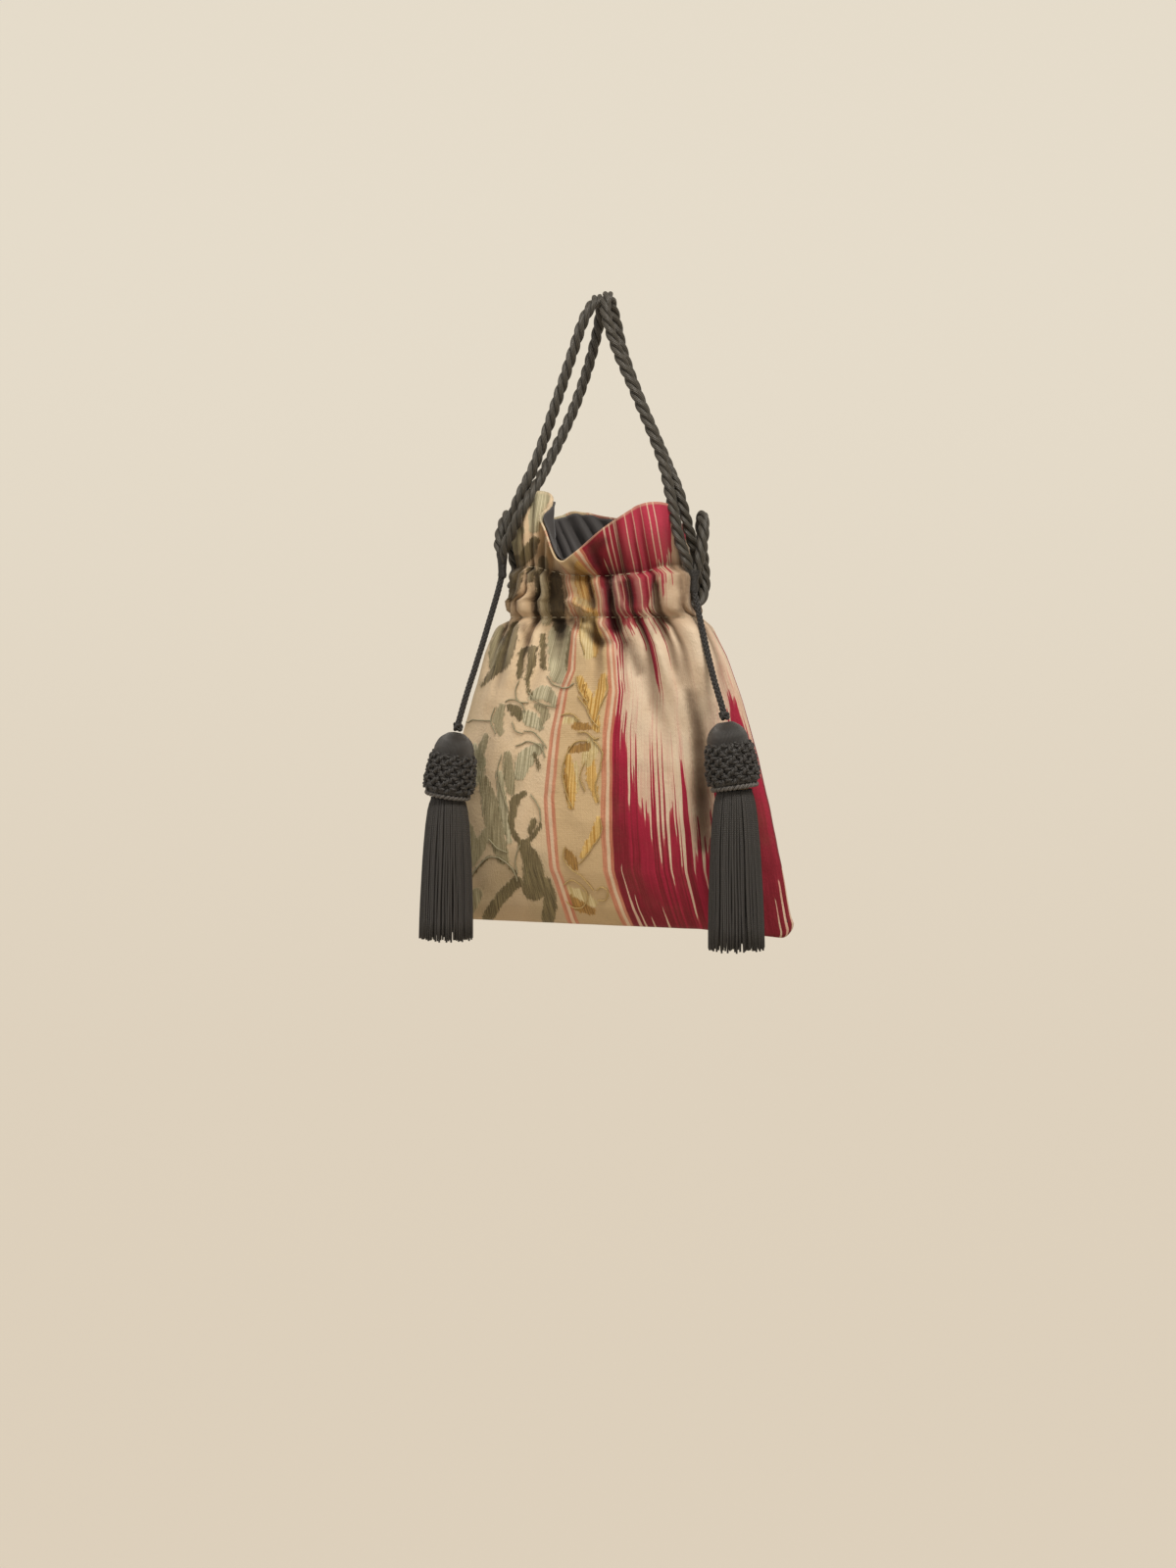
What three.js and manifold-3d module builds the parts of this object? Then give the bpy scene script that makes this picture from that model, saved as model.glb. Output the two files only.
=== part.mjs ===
// Drawstring pouch of velvet brocade, with two rope drawcords that form its handle and two tassels.
// Millimetres, +Z up, +X to the pouch's right side, -Y to its front.
// The origin is the hang point: the underside of the two ropes at the top of the handle.

import * as THREE from 'three';
import { LoftGeometry } from 'three/addons/geometries/LoftGeometry.js';
import { mergeVertices } from 'three/addons/utils/BufferGeometryUtils.js';
import Module from 'manifold-3d';

// Overall sizes of the pouch
const HANDLE_DROP = 131;
const HEADER_HEIGHT = 29;
const CASING_HEIGHT = 25;
const BODY_HEIGHT = 155;
const BOTTOM_WIDTH = 196;
const NECK_WIDTH = 98;
const CASING_WIDTH = 101;
const CASING_DEPTH = 46;
const HEADER_WIDTH = 92;
const HEADER_DEPTH = 44;
const NECK_DEPTH = 40;
const BODY_DEPTH = 53;
const SEAM_DEPTH = 3.6;

// Cloth
const VELVET_WALL = 1.2;
const LINING_WALL = 0.6;
const LINING_GAP = 1;
const LINING_EDGE_DROP = 1.6;
const LINING_BOTTOM_RISE = 3;
const SEAM_GAP = 0.3;
const CLOTH_SEGMENTS = 22;

// How blunt the sides of the cloth are at each level: 1 is an ellipse, more is a lens with sharp sides
const HEADER_ENDS = 0.95;
const NECK_ENDS = 0.9;
const CASING_ENDS = 0.85;
const SEAM_ENDS = 1.2;

// Shape between the lines of stitches
const HEADER_FOLD_SHARE = 0.45;
const HEADER_FOLD_RIPPLE = 0.6;
const HEADER_FOLD_LEAN = 2;
const NECK_EASE = 2;
const CASING_EASE = 3.5;

// Drawcord channel: how far the lining stands in from the velvet, at the sides and at the front
const CHANNEL_SIDE_ROOM = 14.5;
const CHANNEL_FRONT_ROOM = 9;
const NOTCH_WIDTH = 19;
const NOTCH_REACH_IN = 20;
const NOTCH_LENGTH = 40;
const NOTCH_OVERSHOOT = 10;
const NOTCH_LOW_LEFT = -147;
const NOTCH_LOW_RIGHT = -155.3;
const LINING_NOTCH_LOW = -135.5;

// Ripples of the cloth, in and out
const HEADER_RIPPLE = 1.8;
const BODY_RIPPLE = 1.4;
const RIPPLES = 5;
const RIPPLE_FULL_DEPTH = 8;

// Body below the lower stitches: share of its height, then share of its depth, ends and ripple there
const BODY_WIDTH_POWER = 0.6;
const BODY_LEVELS = [
  { share: 0.03, depth: 0.80, ends: 0.9, ripple: 0.6 },
  { share: 0.12, depth: 0.93, ends: 1.05, ripple: 1 },
  { share: 0.26, depth: 1.00, ends: 1.2, ripple: 0.8 },
  { share: 0.45, depth: 0.97, ends: 1.3, ripple: 0.4 },
  { share: 0.65, depth: 0.82, ends: 1.35, ripple: 0.2 },
  { share: 0.82, depth: 0.57, ends: 1.35, ripple: 0 },
  { share: 0.94, depth: 0.30, ends: 1.3, ripple: 0 },
];

// Ropes and cords
const ROPE_DIAMETER = 5.2;
const ROPE_STEPS = 70;
const THIN_CORD_DIAMETER = 3.1;
const THIN_CORD_STEPS = 10;
const CORD_SIDES = 8;

// Bindings of the rope ends
const WHIPPING_WALL = 0.8;
const WHIPPING_HEIGHT = 6.5;
const WHIPPING_TAPER = 6.5;
const WHIPPING_BALL = 2;
const WHIPPING_FLARE = 0.6;
const WHIPPING_BASE = 0.8;
const ROPE_END_GAP = 0.45;
const ROPE_END_SPACING = 6;
const ROPE_END_ANGLE = 0.88;

// Ball of the whipping, from its neck down: shares of its radius, outwards and above its centre
const BALL_OUTLINE = [[1.35, 1.3], [1, 0.25], [0.97, -0.25], [0.78, -0.62], [0.4, -0.92]];

// Middle of the whipping's taper: shares of the spread, of the wall and of the taper's height
const TAPER_SPREAD = 0.45;
const TAPER_WALL = 0.6;
const TAPER_SHARE = 0.33;

// Small raised ring at the middle of the whipping's floor
const FLOOR_RING = 0.4;
const FLOOR_RISE = 0.1;

// Tassels
const KNOT_RADIUS = 2.7;
const HEAD_RADIUS = 10.2;
const HEAD_LENGTH = 31;
const COLLAR_WALL = 2.75;
const COLLAR_TOP = 10.8;
const COLLAR_RISE = 1;
const COVER_WALL = 0.8;
const MOULD_BORE_RADIUS = 1.9;
const MOULD_STEM_RADIUS = 6.4;
const MOULD_STEM_LENGTH = 8;
const MOULD_SHOULDER = 3;
const STEM_ROOM = 1.5;
const BINDING_RADIUS = 1.6;
const BINDING_ROOM = 0.3;
const SKIRT_WALL = 0.8;
const INSIDE_DROP = 0.7;
const SKIRT_RADIUS = 13.9;
const LEFT_SKIRT_LENGTH = 72;
const RIGHT_SKIRT_LENGTH = 78;
const HEAD_TILT = 9;
const SKIRT_TILT = 1;
const PIECE_GAP = 0.35;
const TURNED_SIDES = 20;
const BINDING_SIDES = 8;
const KNOT_SIDES = 14;

// Outline of the head below its crown: shares of its radius and of its length
const HEAD_OUTLINE = [
  [0.53, 0.03], [0.82, 0.12], [0.98, 0.24], [1, 0.37], [1.07, 0.58], [1.08, 0.74], [0.97, 0.885],
];

// Outline of the collar: shares of its wall and of its length
const COLLAR_OUTLINE = [[0.23, 0], [0.68, 0.125], [0.86, 0.365], [0.94, 0.65], [1, 0.885], [0.86, 1]];

// Outline of the skirt: shares of how far it spreads and of its length
const SKIRT_OUTLINE = [
  [0, 0], [0, 0.03], [0.25, 0.0625], [0.52, 0.22], [0.71, 0.4], [0.9, 0.71], [1, 1],
];

// Colours
const VELVET_BEIGE = 0xb9a684;
const VELVET_CRIMSON = 0x9c1f3f;
const LINING_BLACK = 0x1a1a1d;
const ROPE_BLACK = 0x1c1b1b;
const THREAD_BLACK = 0x151515;
const WOOD_PALE = 0xc9a877;

// Roughness
const VELVET_ROUGHNESS = 0.85;
const LINING_ROUGHNESS = 0.8;
const ROPE_ROUGHNESS = 0.5;
const BINDING_ROUGHNESS = 0.6;
const COVER_ROUGHNESS = 0.45;
const FRINGE_ROUGHNESS = 0.55;
const WOOD_ROUGHNESS = 0.7;

// Drawcord routes: chosen points, from the end in the whipping up, over the hang point and down,
// then round the channel and up through the side notch to the whipping again.
const LEFT_ROPE_ROUTE = [
  [-47.8, -15.9, -127], [-47.0, -16.3, -120.5], [-43.5, -17.3, -114], [-37.0, -18.4, -102],
  [-31.6, -11.0, -89], [-27.2, -4.0, -77.5], [-21.2, 2.0, -63], [-14.4, 6.2, -46.7],
  [-9.2, 8.8, -25], [-5.4, 8.4, -8], [-3.4, 4.8, 0.6], [-3.0, 0, 2.7],
  [-3.9, -5.0, 0.2], [-7.4, -9.0, -8], [-13.4, -10.2, -26], [-20.2, -10.8, -46.7],
  [-31.3, -12.0, -79], [-41.4, -14.6, -99], [-46.3, -11.2, -111], [-47.8, -4.4, -120],
  [-47.8, -0.6, -128], [-45.0, 5.2, -135], [-37.8, 11.0, -137], [-22.8, 16.1, -137.5],
  [0, 18.2, -138], [22.8, 16.1, -138], [36.5, 10.2, -138], [41.2, 0, -138],
  [36.5, -10.2, -138.5], [22.8, -16.1, -139], [0, -18.2, -139.5], [-22.8, -16.1, -140.5],
  [-38, -11.0, -141.5], [-45.6, -4.4, -142], [-49.8, 1.6, -140.8], [-50.6, 7.2, -133.5],
  [-47.6, 7.4, -115], [-50.4, -1.5, -103.8], [-52.4, -10.3, -116.5], [-51.6, -11.3, -127],
];
const RIGHT_ROPE_ROUTE = [
  [47.8, -15.9, -135], [47.0, -16.3, -128.5], [43.8, -17.2, -120], [39.6, -16.9, -104],
  [33.1, -12.6, -79], [18.6, -11.0, -46.7], [8.8, -10.2, -24], [4.0, -8.9, -8],
  [3.0, -5.0, 0.2], [3.0, 0, 2.7], [3.0, 5.0, 0.4], [4.6, 8.8, -8],
  [9.2, 8.9, -24], [17.7, 6.0, -46.7], [34.6, -3.6, -79], [44.2, -9.4, -96],
  [48.2, -7.2, -116], [48.4, -2.4, -127.5], [47.2, 2.2, -136.5], [43.8, 7.0, -143.5],
  [37.2, 11.4, -146.3], [22.8, 16.1, -147], [0, 18.2, -147.5], [-22.8, 16.1, -148],
  [-36.5, 10.2, -148], [-41.2, 0, -148.5], [-36.5, -10.2, -149], [-22.8, -16.1, -149.5],
  [0, -18.2, -150], [22.8, -16.1, -150.5], [38, -11.0, -151.2], [45.6, -4.4, -151.6],
  [49.8, 1.6, -150.2], [50.8, 7.2, -142], [48.6, 8.2, -126], [48.2, 4.4, -110.5],
  [51.0, -2.4, -106.2], [53.3, -8.2, -113], [52.6, -11.0, -124], [51.6, -11.3, -135],
];

// Tassel cord routes, from the ball of the whipping to the neck knot
const LEFT_CORD_ROUTE = [
  [-50.3, -14.0, -137.1], [-51.3, -14.8, -142], [-52.5, -15.6, -147], [-53.7, -16.6, -152],
  [-54.9, -17.7, -157], [-56.1, -18.8, -162], [-57.3, -19.8, -167], [-58.6, -20.8, -172],
  [-59.9, -21.9, -177], [-61.2, -22.8, -182], [-62.6, -23.8, -187], [-64.0, -24.7, -192],
  [-65.3, -25.6, -197], [-66.6, -26.3, -202], [-68.0, -27.0, -207.5],
];
const RIGHT_CORD_ROUTE = [
  [50.3, -14.0, -145.1], [51.4, -14.8, -149], [52.6, -15.7, -153], [53.7, -16.7, -157],
  [54.9, -17.7, -160.9], [56.1, -18.8, -164.9], [57.3, -19.8, -168.9], [58.5, -20.8, -172.9],
  [59.8, -21.9, -176.9], [61.1, -22.9, -180.8], [62.4, -23.8, -184.8], [63.8, -24.8, -188.8],
  [65.3, -25.7, -192.8], [66.7, -26.4, -196.6], [68.0, -27.0, -200.3],
];
const LEFT_WHIPPING_CENTRE = new THREE.Vector3(-49.7, -13.6, -127);
const RIGHT_WHIPPING_CENTRE = new THREE.Vector3(49.7, -13.6, -135);
const LEFT_NECK = new THREE.Vector3(-68.7, -27.4, -210.6);
const RIGHT_NECK = new THREE.Vector3(68.7, -27.4, -203.4);

// Heights that follow from the overall sizes
const UPPER_STITCH = -HANDLE_DROP;
const LOWER_STITCH = UPPER_STITCH - CASING_HEIGHT;
const HEADER_TOP = UPPER_STITCH + HEADER_HEIGHT;
const BODY_BOTTOM = LOWER_STITCH - BODY_HEIGHT;

// Sizes that follow from what they fit
const LINING_INSET = VELVET_WALL + LINING_GAP;
const STEM_HOLE_RADIUS = MOULD_STEM_RADIUS + STEM_ROOM;
const SKIRT_NECK_RADIUS = STEM_HOLE_RADIUS + SKIRT_WALL;
const HEAD_TOP = -(KNOT_RADIUS + PIECE_GAP);
const HEAD_LOW = HEAD_TOP - HEAD_LENGTH;
const COLLAR_HIGH = HEAD_TOP - COLLAR_TOP;
const COLLAR_LOW = HEAD_LOW + COLLAR_RISE;

// Distance within which two vertices are one
const WELD = 1e-4;

const wasm = await Module();
wasm.setup();

function material(color, roughness) {
  return new THREE.MeshStandardMaterial({ color, roughness, metalness: 0 });
}

function mesh(name, geometry, pieceMaterial) {
  const piece = new THREE.Mesh(geometry, pieceMaterial);
  piece.name = name;
  return piece;
}

function toSolid(geometry) {
  const bare = new THREE.BufferGeometry();
  bare.setAttribute('position', geometry.attributes.position);
  bare.setIndex(geometry.index);
  const merged = mergeVertices(bare, WELD);
  return new wasm.Manifold(new wasm.Mesh({
    numProp: 3,
    vertProperties: new Float32Array(merged.attributes.position.array),
    triVerts: new Uint32Array(merged.index.array),
  }));
}

function toGeometry(solid) {
  const cut = solid.getMesh();
  const geometry = new THREE.BufferGeometry();
  geometry.setAttribute('position', new THREE.BufferAttribute(cut.vertProperties, 3));
  geometry.setIndex(new THREE.BufferAttribute(cut.triVerts, 1));
  geometry.computeVertexNormals();
  return geometry;
}

// Cloth surface
// A station is one level of the velvet: its height, half width, half depth, how blunt its sides are
// and how far the cloth ripples there. A closed one ends the pouch at its bottom seam.

function bodyStation(level) {
  const grown = Math.pow(level.share, BODY_WIDTH_POWER);
  return {
    z: LOWER_STITCH - BODY_HEIGHT * level.share,
    width: (NECK_WIDTH + (BOTTOM_WIDTH - NECK_WIDTH) * grown) / 2,
    depth: (BODY_DEPTH * level.depth) / 2,
    ends: level.ends,
    ripple: BODY_RIPPLE * level.ripple,
  };
}

function station(z, width, depth, ends, ripple) {
  return { z, width: width / 2, depth: depth / 2, ends, ripple };
}

const velvetStations = [
  station(HEADER_TOP, HEADER_WIDTH, HEADER_DEPTH, HEADER_ENDS, HEADER_RIPPLE),
  station(HEADER_TOP - HEADER_HEIGHT * HEADER_FOLD_SHARE, HEADER_WIDTH, HEADER_DEPTH - HEADER_FOLD_LEAN,
    HEADER_ENDS, HEADER_RIPPLE * HEADER_FOLD_RIPPLE),
  station(UPPER_STITCH, NECK_WIDTH - NECK_EASE, NECK_DEPTH, NECK_ENDS, 0),
  station(UPPER_STITCH - CASING_EASE, CASING_WIDTH, CASING_DEPTH, CASING_ENDS, 0),
  station(LOWER_STITCH + CASING_EASE, CASING_WIDTH, CASING_DEPTH, CASING_ENDS, 0),
  station(LOWER_STITCH, NECK_WIDTH, NECK_DEPTH, CASING_ENDS, 0),
  ...BODY_LEVELS.map(bodyStation),
  { ...station(BODY_BOTTOM, BOTTOM_WIDTH, SEAM_DEPTH, SEAM_ENDS, 0), closed: true },
];

// One edge point of a station: angle 0 is the left side and pi is the right side.
function clothPoint(level, angle, inset, sign) {
  const ripple = level.ripple * Math.cos(RIPPLES * 2 * angle);
  const x = -(level.width - inset.side + ripple * Math.sin(angle)) * Math.cos(angle);
  const reach = Math.max(level.depth - inset.front - SEAM_GAP / 2, 0);
  const wave = ripple * Math.min(reach / RIPPLE_FULL_DEPTH, 1);
  const bulge = Math.pow(Math.abs(Math.sin(angle)), level.ends) * (reach + wave);
  return new THREE.Vector3(x, sign * (SEAM_GAP / 2 + bulge), level.z);
}

// A sewn half: a sheet that follows the stations from one side seam to the other, with a wall.
function clothHalf(stations, insetOf, wall, sign) {
  const sections = stations.map((level) => {
    const outside = insetOf(level);
    const inside = { side: outside.side + wall, front: outside.front + wall };
    if (level.closed) {
      inside.front = level.depth - SEAM_GAP;
    }
    const points = [];
    for (let i = 0; i <= CLOTH_SEGMENTS; i += 1) {
      points.push(clothPoint(level, (Math.PI * i) / CLOTH_SEGMENTS, outside, sign));
    }
    for (let i = CLOTH_SEGMENTS; i >= 0; i -= 1) {
      points.push(clothPoint(level, (Math.PI * i) / CLOTH_SEGMENTS, inside, sign));
    }
    return sign > 0 ? points : points.reverse();
  });
  return new LoftGeometry(sections, { capStart: true, capEnd: true });
}

const flatInset = () => ({ side: 0, front: 0 });

// The lining follows the velvet, and stands further in along the channel to make room for the cords.
function liningInset(level) {
  return level.channel
    ? { side: CHANNEL_SIDE_ROOM, front: CHANNEL_FRONT_ROOM }
    : { side: LINING_INSET, front: LINING_INSET };
}

const liningStations = [
  { ...velvetStations[0], z: HEADER_TOP - LINING_EDGE_DROP },
  velvetStations[1],
  velvetStations[2],
  { ...velvetStations[3], channel: true },
  { ...velvetStations[4], channel: true },
  velvetStations[5],
  ...BODY_LEVELS.map(bodyStation),
];
const lowest = liningStations[liningStations.length - 1];
liningStations.push({
  ...lowest,
  z: BODY_BOTTOM + LINING_BOTTOM_RISE,
  depth: LINING_INSET + LINING_WALL + SEAM_GAP,
  closed: true,
});

// Block that is cut away at one side of the pouch, where the cords pass between front and back.
function sideNotch(sign, low) {
  const top = HEADER_TOP + NOTCH_OVERSHOOT;
  const middle = CASING_WIDTH / 2 - NOTCH_REACH_IN + NOTCH_LENGTH / 2;
  const block = new THREE.BoxGeometry(NOTCH_LENGTH, NOTCH_WIDTH, top - low);
  block.translate(sign * middle, 0, (top + low) / 2);
  return toSolid(block);
}

const leftVelvetNotch = sideNotch(-1, NOTCH_LOW_LEFT);
const rightVelvetNotch = sideNotch(1, NOTCH_LOW_RIGHT);
const leftLiningNotch = sideNotch(-1, LINING_NOTCH_LOW);
const rightLiningNotch = sideNotch(1, LINING_NOTCH_LOW);

function panel(name, stations, insetOf, wall, sign, notches, colour, roughness) {
  let solid = toSolid(clothHalf(stations, insetOf, wall, sign));
  for (const notch of notches) {
    solid = solid.subtract(notch);
  }
  return mesh(name, toGeometry(solid), material(colour, roughness));
}

// Ropes and cords

function route(points) {
  return new THREE.CatmullRomCurve3(points.map((p) => new THREE.Vector3(...p)));
}

function cordTube(name, points, diameter, steps, colour) {
  const outline = [];
  for (let i = 0; i < CORD_SIDES; i += 1) {
    const angle = (2 * Math.PI * i) / CORD_SIDES;
    outline.push(new THREE.Vector2(Math.cos(angle), Math.sin(angle)).multiplyScalar(diameter / 2));
  }
  const geometry = new THREE.ExtrudeGeometry(new THREE.Shape(outline), {
    steps,
    bevelEnabled: false,
    extrudePath: route(points),
  });
  return mesh(name, geometry, material(colour, ROPE_ROUGHNESS));
}

// Whipping: a long cup that holds the rope's two ends side by side, and tapers to a ball below.
function whipping(name, centre, outwards) {
  const apart = ROPE_END_SPACING / 2;
  const bore = ROPE_DIAMETER / 2 + ROPE_END_GAP;
  const floor = -ROPE_END_GAP;
  const rim = floor + WHIPPING_HEIGHT;
  const ballCentre = floor - WHIPPING_WALL - WHIPPING_TAPER;
  const slot = (spread, radius, z) => {
    const ring = [];
    for (let i = 0; i < TURNED_SIDES; i += 1) {
      const angle = (-2 * Math.PI * (i + 0.5)) / TURNED_SIDES;
      const x = radius * Math.cos(angle) + spread * Math.sign(Math.cos(angle));
      ring.push(new THREE.Vector3(x, radius * Math.sin(angle), z));
    }
    return ring;
  };
  const sections = [
    slot(0, FLOOR_RING, floor + FLOOR_RISE),
    slot(apart, bore, floor),
    slot(apart, bore, floor + WHIPPING_BASE),
    slot(apart, bore + WHIPPING_FLARE, rim),
    slot(apart, bore + WHIPPING_FLARE + WHIPPING_WALL, rim),
    slot(apart, bore + WHIPPING_WALL, floor + WHIPPING_BASE),
    slot(apart * TAPER_SPREAD, bore + WHIPPING_WALL * TAPER_WALL, floor - WHIPPING_TAPER * TAPER_SHARE),
    ...BALL_OUTLINE.map(([out, up]) => slot(0, WHIPPING_BALL * out, ballCentre + WHIPPING_BALL * up)),
  ];
  const cup = mesh(name, new LoftGeometry(sections, { capStart: true, capEnd: true }),
    material(THREAD_BLACK, BINDING_ROUGHNESS));
  cup.position.copy(centre);
  cup.rotation.z = outwards * ROPE_END_ANGLE;
  return cup;
}

// Tassels: turned pieces about a local axis that runs down from the neck knot

function turned(name, profile, colour, roughness) {
  const points = profile.map(([radius, z]) => new THREE.Vector2(radius, z)).reverse();
  const geometry = new THREE.LatheGeometry(points, TURNED_SIDES);
  geometry.rotateX(Math.PI / 2);
  return mesh(name, geometry, material(colour, roughness));
}

const headOutline = HEAD_OUTLINE.map(([out, down]) => [HEAD_RADIUS * out, HEAD_TOP - HEAD_LENGTH * down]);

// The head's outline from its crown to its low edge, moved inwards and down by a depth
function insideHead(depth) {
  return headOutline.map(([radius, z]) => [radius - depth, z - depth * INSIDE_DROP]);
}

// Radius of the head at a height, between two points of its outline
function headRadiusAt(z) {
  const outline = [...headOutline, [SKIRT_NECK_RADIUS, HEAD_LOW]];
  const next = outline.findIndex((point) => point[1] <= z);
  const [upperRadius, upperZ] = outline[next - 1];
  const [lowerRadius, lowerZ] = outline[next];
  return upperRadius + ((lowerRadius - upperRadius) * (upperZ - z)) / (upperZ - lowerZ);
}

function headCover(name) {
  const inner = insideHead(COVER_WALL).reverse();
  const hole = MOULD_BORE_RADIUS;
  return turned(name, [
    [hole, HEAD_TOP], ...headOutline, [SKIRT_NECK_RADIUS, HEAD_LOW],
    [SKIRT_NECK_RADIUS - COVER_WALL, HEAD_LOW], ...inner, [hole, HEAD_TOP - COVER_WALL], [hole, HEAD_TOP],
  ], THREAD_BLACK, COVER_ROUGHNESS);
}

function headMould(name) {
  const outer = insideHead(COVER_WALL + PIECE_GAP);
  const hole = MOULD_BORE_RADIUS;
  const top = HEAD_TOP - COVER_WALL - PIECE_GAP * 2;
  const shoulder = HEAD_LOW + MOULD_SHOULDER;
  const low = HEAD_LOW - MOULD_STEM_LENGTH;
  return turned(name, [
    [hole, top], ...outer, [MOULD_STEM_RADIUS, shoulder], [MOULD_STEM_RADIUS, low], [hole, low],
    [hole, top],
  ], WOOD_PALE, WOOD_ROUGHNESS);
}

function braidedCollar(name) {
  const seat = (z) => headRadiusAt(z) + PIECE_GAP;
  const outer = COLLAR_OUTLINE.map(([wall, down]) => {
    const z = COLLAR_HIGH - (COLLAR_HIGH - COLLAR_LOW) * down;
    return [seat(z) + COLLAR_WALL * wall, z];
  });
  const between = headOutline.filter(([, z]) => z < COLLAR_HIGH && z > COLLAR_LOW);
  const inner = [COLLAR_HIGH, ...between.map((point) => point[1]), COLLAR_LOW]
    .reverse()
    .map((z) => [seat(z), z]);
  return turned(name, [...outer, ...inner, outer[0]], THREAD_BLACK, BINDING_ROUGHNESS);
}

function lowerBinding(name) {
  const radius = SKIRT_NECK_RADIUS + PIECE_GAP + BINDING_ROOM + BINDING_RADIUS;
  const ring = new THREE.TorusGeometry(radius, BINDING_RADIUS, BINDING_SIDES, TURNED_SIDES);
  ring.translate(0, 0, COLLAR_LOW - PIECE_GAP - BINDING_RADIUS);
  return mesh(name, ring, material(THREAD_BLACK, BINDING_ROUGHNESS));
}

function fringeSkirt(name, length) {
  const floor = -(MOULD_STEM_LENGTH + STEM_ROOM);
  const spread = SKIRT_RADIUS - SKIRT_NECK_RADIUS;
  const outer = SKIRT_OUTLINE.map(([out, down]) => [SKIRT_NECK_RADIUS + spread * out, -length * down]);
  return turned(name, [
    [STEM_HOLE_RADIUS, 0], ...outer, [0, -length], [0, floor], [STEM_HOLE_RADIUS, floor],
    [STEM_HOLE_RADIUS, 0],
  ], THREAD_BLACK, FRINGE_ROUGHNESS);
}

// One tassel: the head leans towards its cord and the skirt hangs almost plumb below it.
function tassel(side, neck, outwards, skirtLength) {
  const hung = new THREE.Group();
  hung.position.copy(neck);
  const knot = new THREE.SphereGeometry(KNOT_RADIUS, KNOT_SIDES, KNOT_SIDES / 2);
  hung.add(mesh(`${side}_neck_knot`, knot, material(THREAD_BLACK, BINDING_ROUGHNESS)));
  const head = new THREE.Group();
  head.rotation.y = -outwards * THREE.MathUtils.degToRad(HEAD_TILT);
  head.add(headMould(`${side}_head_mould`));
  head.add(headCover(`${side}_head_cover`));
  head.add(braidedCollar(`${side}_braided_collar`));
  head.add(lowerBinding(`${side}_lower_binding`));
  hung.add(head);
  const hem = new THREE.Group();
  hem.position.set(0, 0, HEAD_LOW - PIECE_GAP).applyEuler(head.rotation);
  hem.rotation.y = -outwards * THREE.MathUtils.degToRad(SKIRT_TILT);
  const skirt = fringeSkirt(`${side}_fringe_skirt`, skirtLength);
  const lean = THREE.MathUtils.degToRad(HEAD_TILT - SKIRT_TILT);
  skirt.position.z = -SKIRT_NECK_RADIUS * Math.sin(lean);
  hem.add(skirt);
  hung.add(hem);
  return hung;
}

const pouch = new THREE.Group();
const velvetNotches = [leftVelvetNotch, rightVelvetNotch];
const liningNotches = [leftLiningNotch, rightLiningNotch];
pouch.add(panel('outer_front_panel', velvetStations, flatInset, VELVET_WALL, -1, velvetNotches,
  VELVET_CRIMSON, VELVET_ROUGHNESS));
pouch.add(panel('outer_back_panel', velvetStations, flatInset, VELVET_WALL, 1, velvetNotches,
  VELVET_BEIGE, VELVET_ROUGHNESS));
pouch.add(panel('lining_front_panel', liningStations, liningInset, LINING_WALL, -1, liningNotches,
  LINING_BLACK, LINING_ROUGHNESS));
pouch.add(panel('lining_back_panel', liningStations, liningInset, LINING_WALL, 1, liningNotches,
  LINING_BLACK, LINING_ROUGHNESS));
pouch.add(cordTube('left_drawcord', LEFT_ROPE_ROUTE, ROPE_DIAMETER, ROPE_STEPS, ROPE_BLACK));
pouch.add(cordTube('right_drawcord', RIGHT_ROPE_ROUTE, ROPE_DIAMETER, ROPE_STEPS, ROPE_BLACK));
pouch.add(whipping('left_cord_whipping', LEFT_WHIPPING_CENTRE, -1));
pouch.add(whipping('right_cord_whipping', RIGHT_WHIPPING_CENTRE, 1));
pouch.add(cordTube('left_tassel_cord', LEFT_CORD_ROUTE, THIN_CORD_DIAMETER, THIN_CORD_STEPS, ROPE_BLACK));
pouch.add(cordTube('right_tassel_cord', RIGHT_CORD_ROUTE, THIN_CORD_DIAMETER, THIN_CORD_STEPS,
  ROPE_BLACK));
pouch.add(tassel('left', LEFT_NECK, -1, LEFT_SKIRT_LENGTH));
pouch.add(tassel('right', RIGHT_NECK, 1, RIGHT_SKIRT_LENGTH));

export default pouch;
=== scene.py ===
import math
import random

import bmesh
import bpy
import numpy as np
from mathutils import Matrix, Vector, kdtree, noise


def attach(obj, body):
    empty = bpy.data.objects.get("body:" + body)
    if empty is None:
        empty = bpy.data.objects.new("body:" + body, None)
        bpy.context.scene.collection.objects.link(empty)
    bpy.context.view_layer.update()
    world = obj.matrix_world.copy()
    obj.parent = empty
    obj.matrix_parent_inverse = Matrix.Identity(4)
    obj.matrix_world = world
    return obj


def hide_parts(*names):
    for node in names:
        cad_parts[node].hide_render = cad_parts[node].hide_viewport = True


# Drawstring pouch of velvet brocade, hung from two rope drawcords, with a tassel on each side.
# Sizes below are millimetres; meshes are stored in metres.

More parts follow.
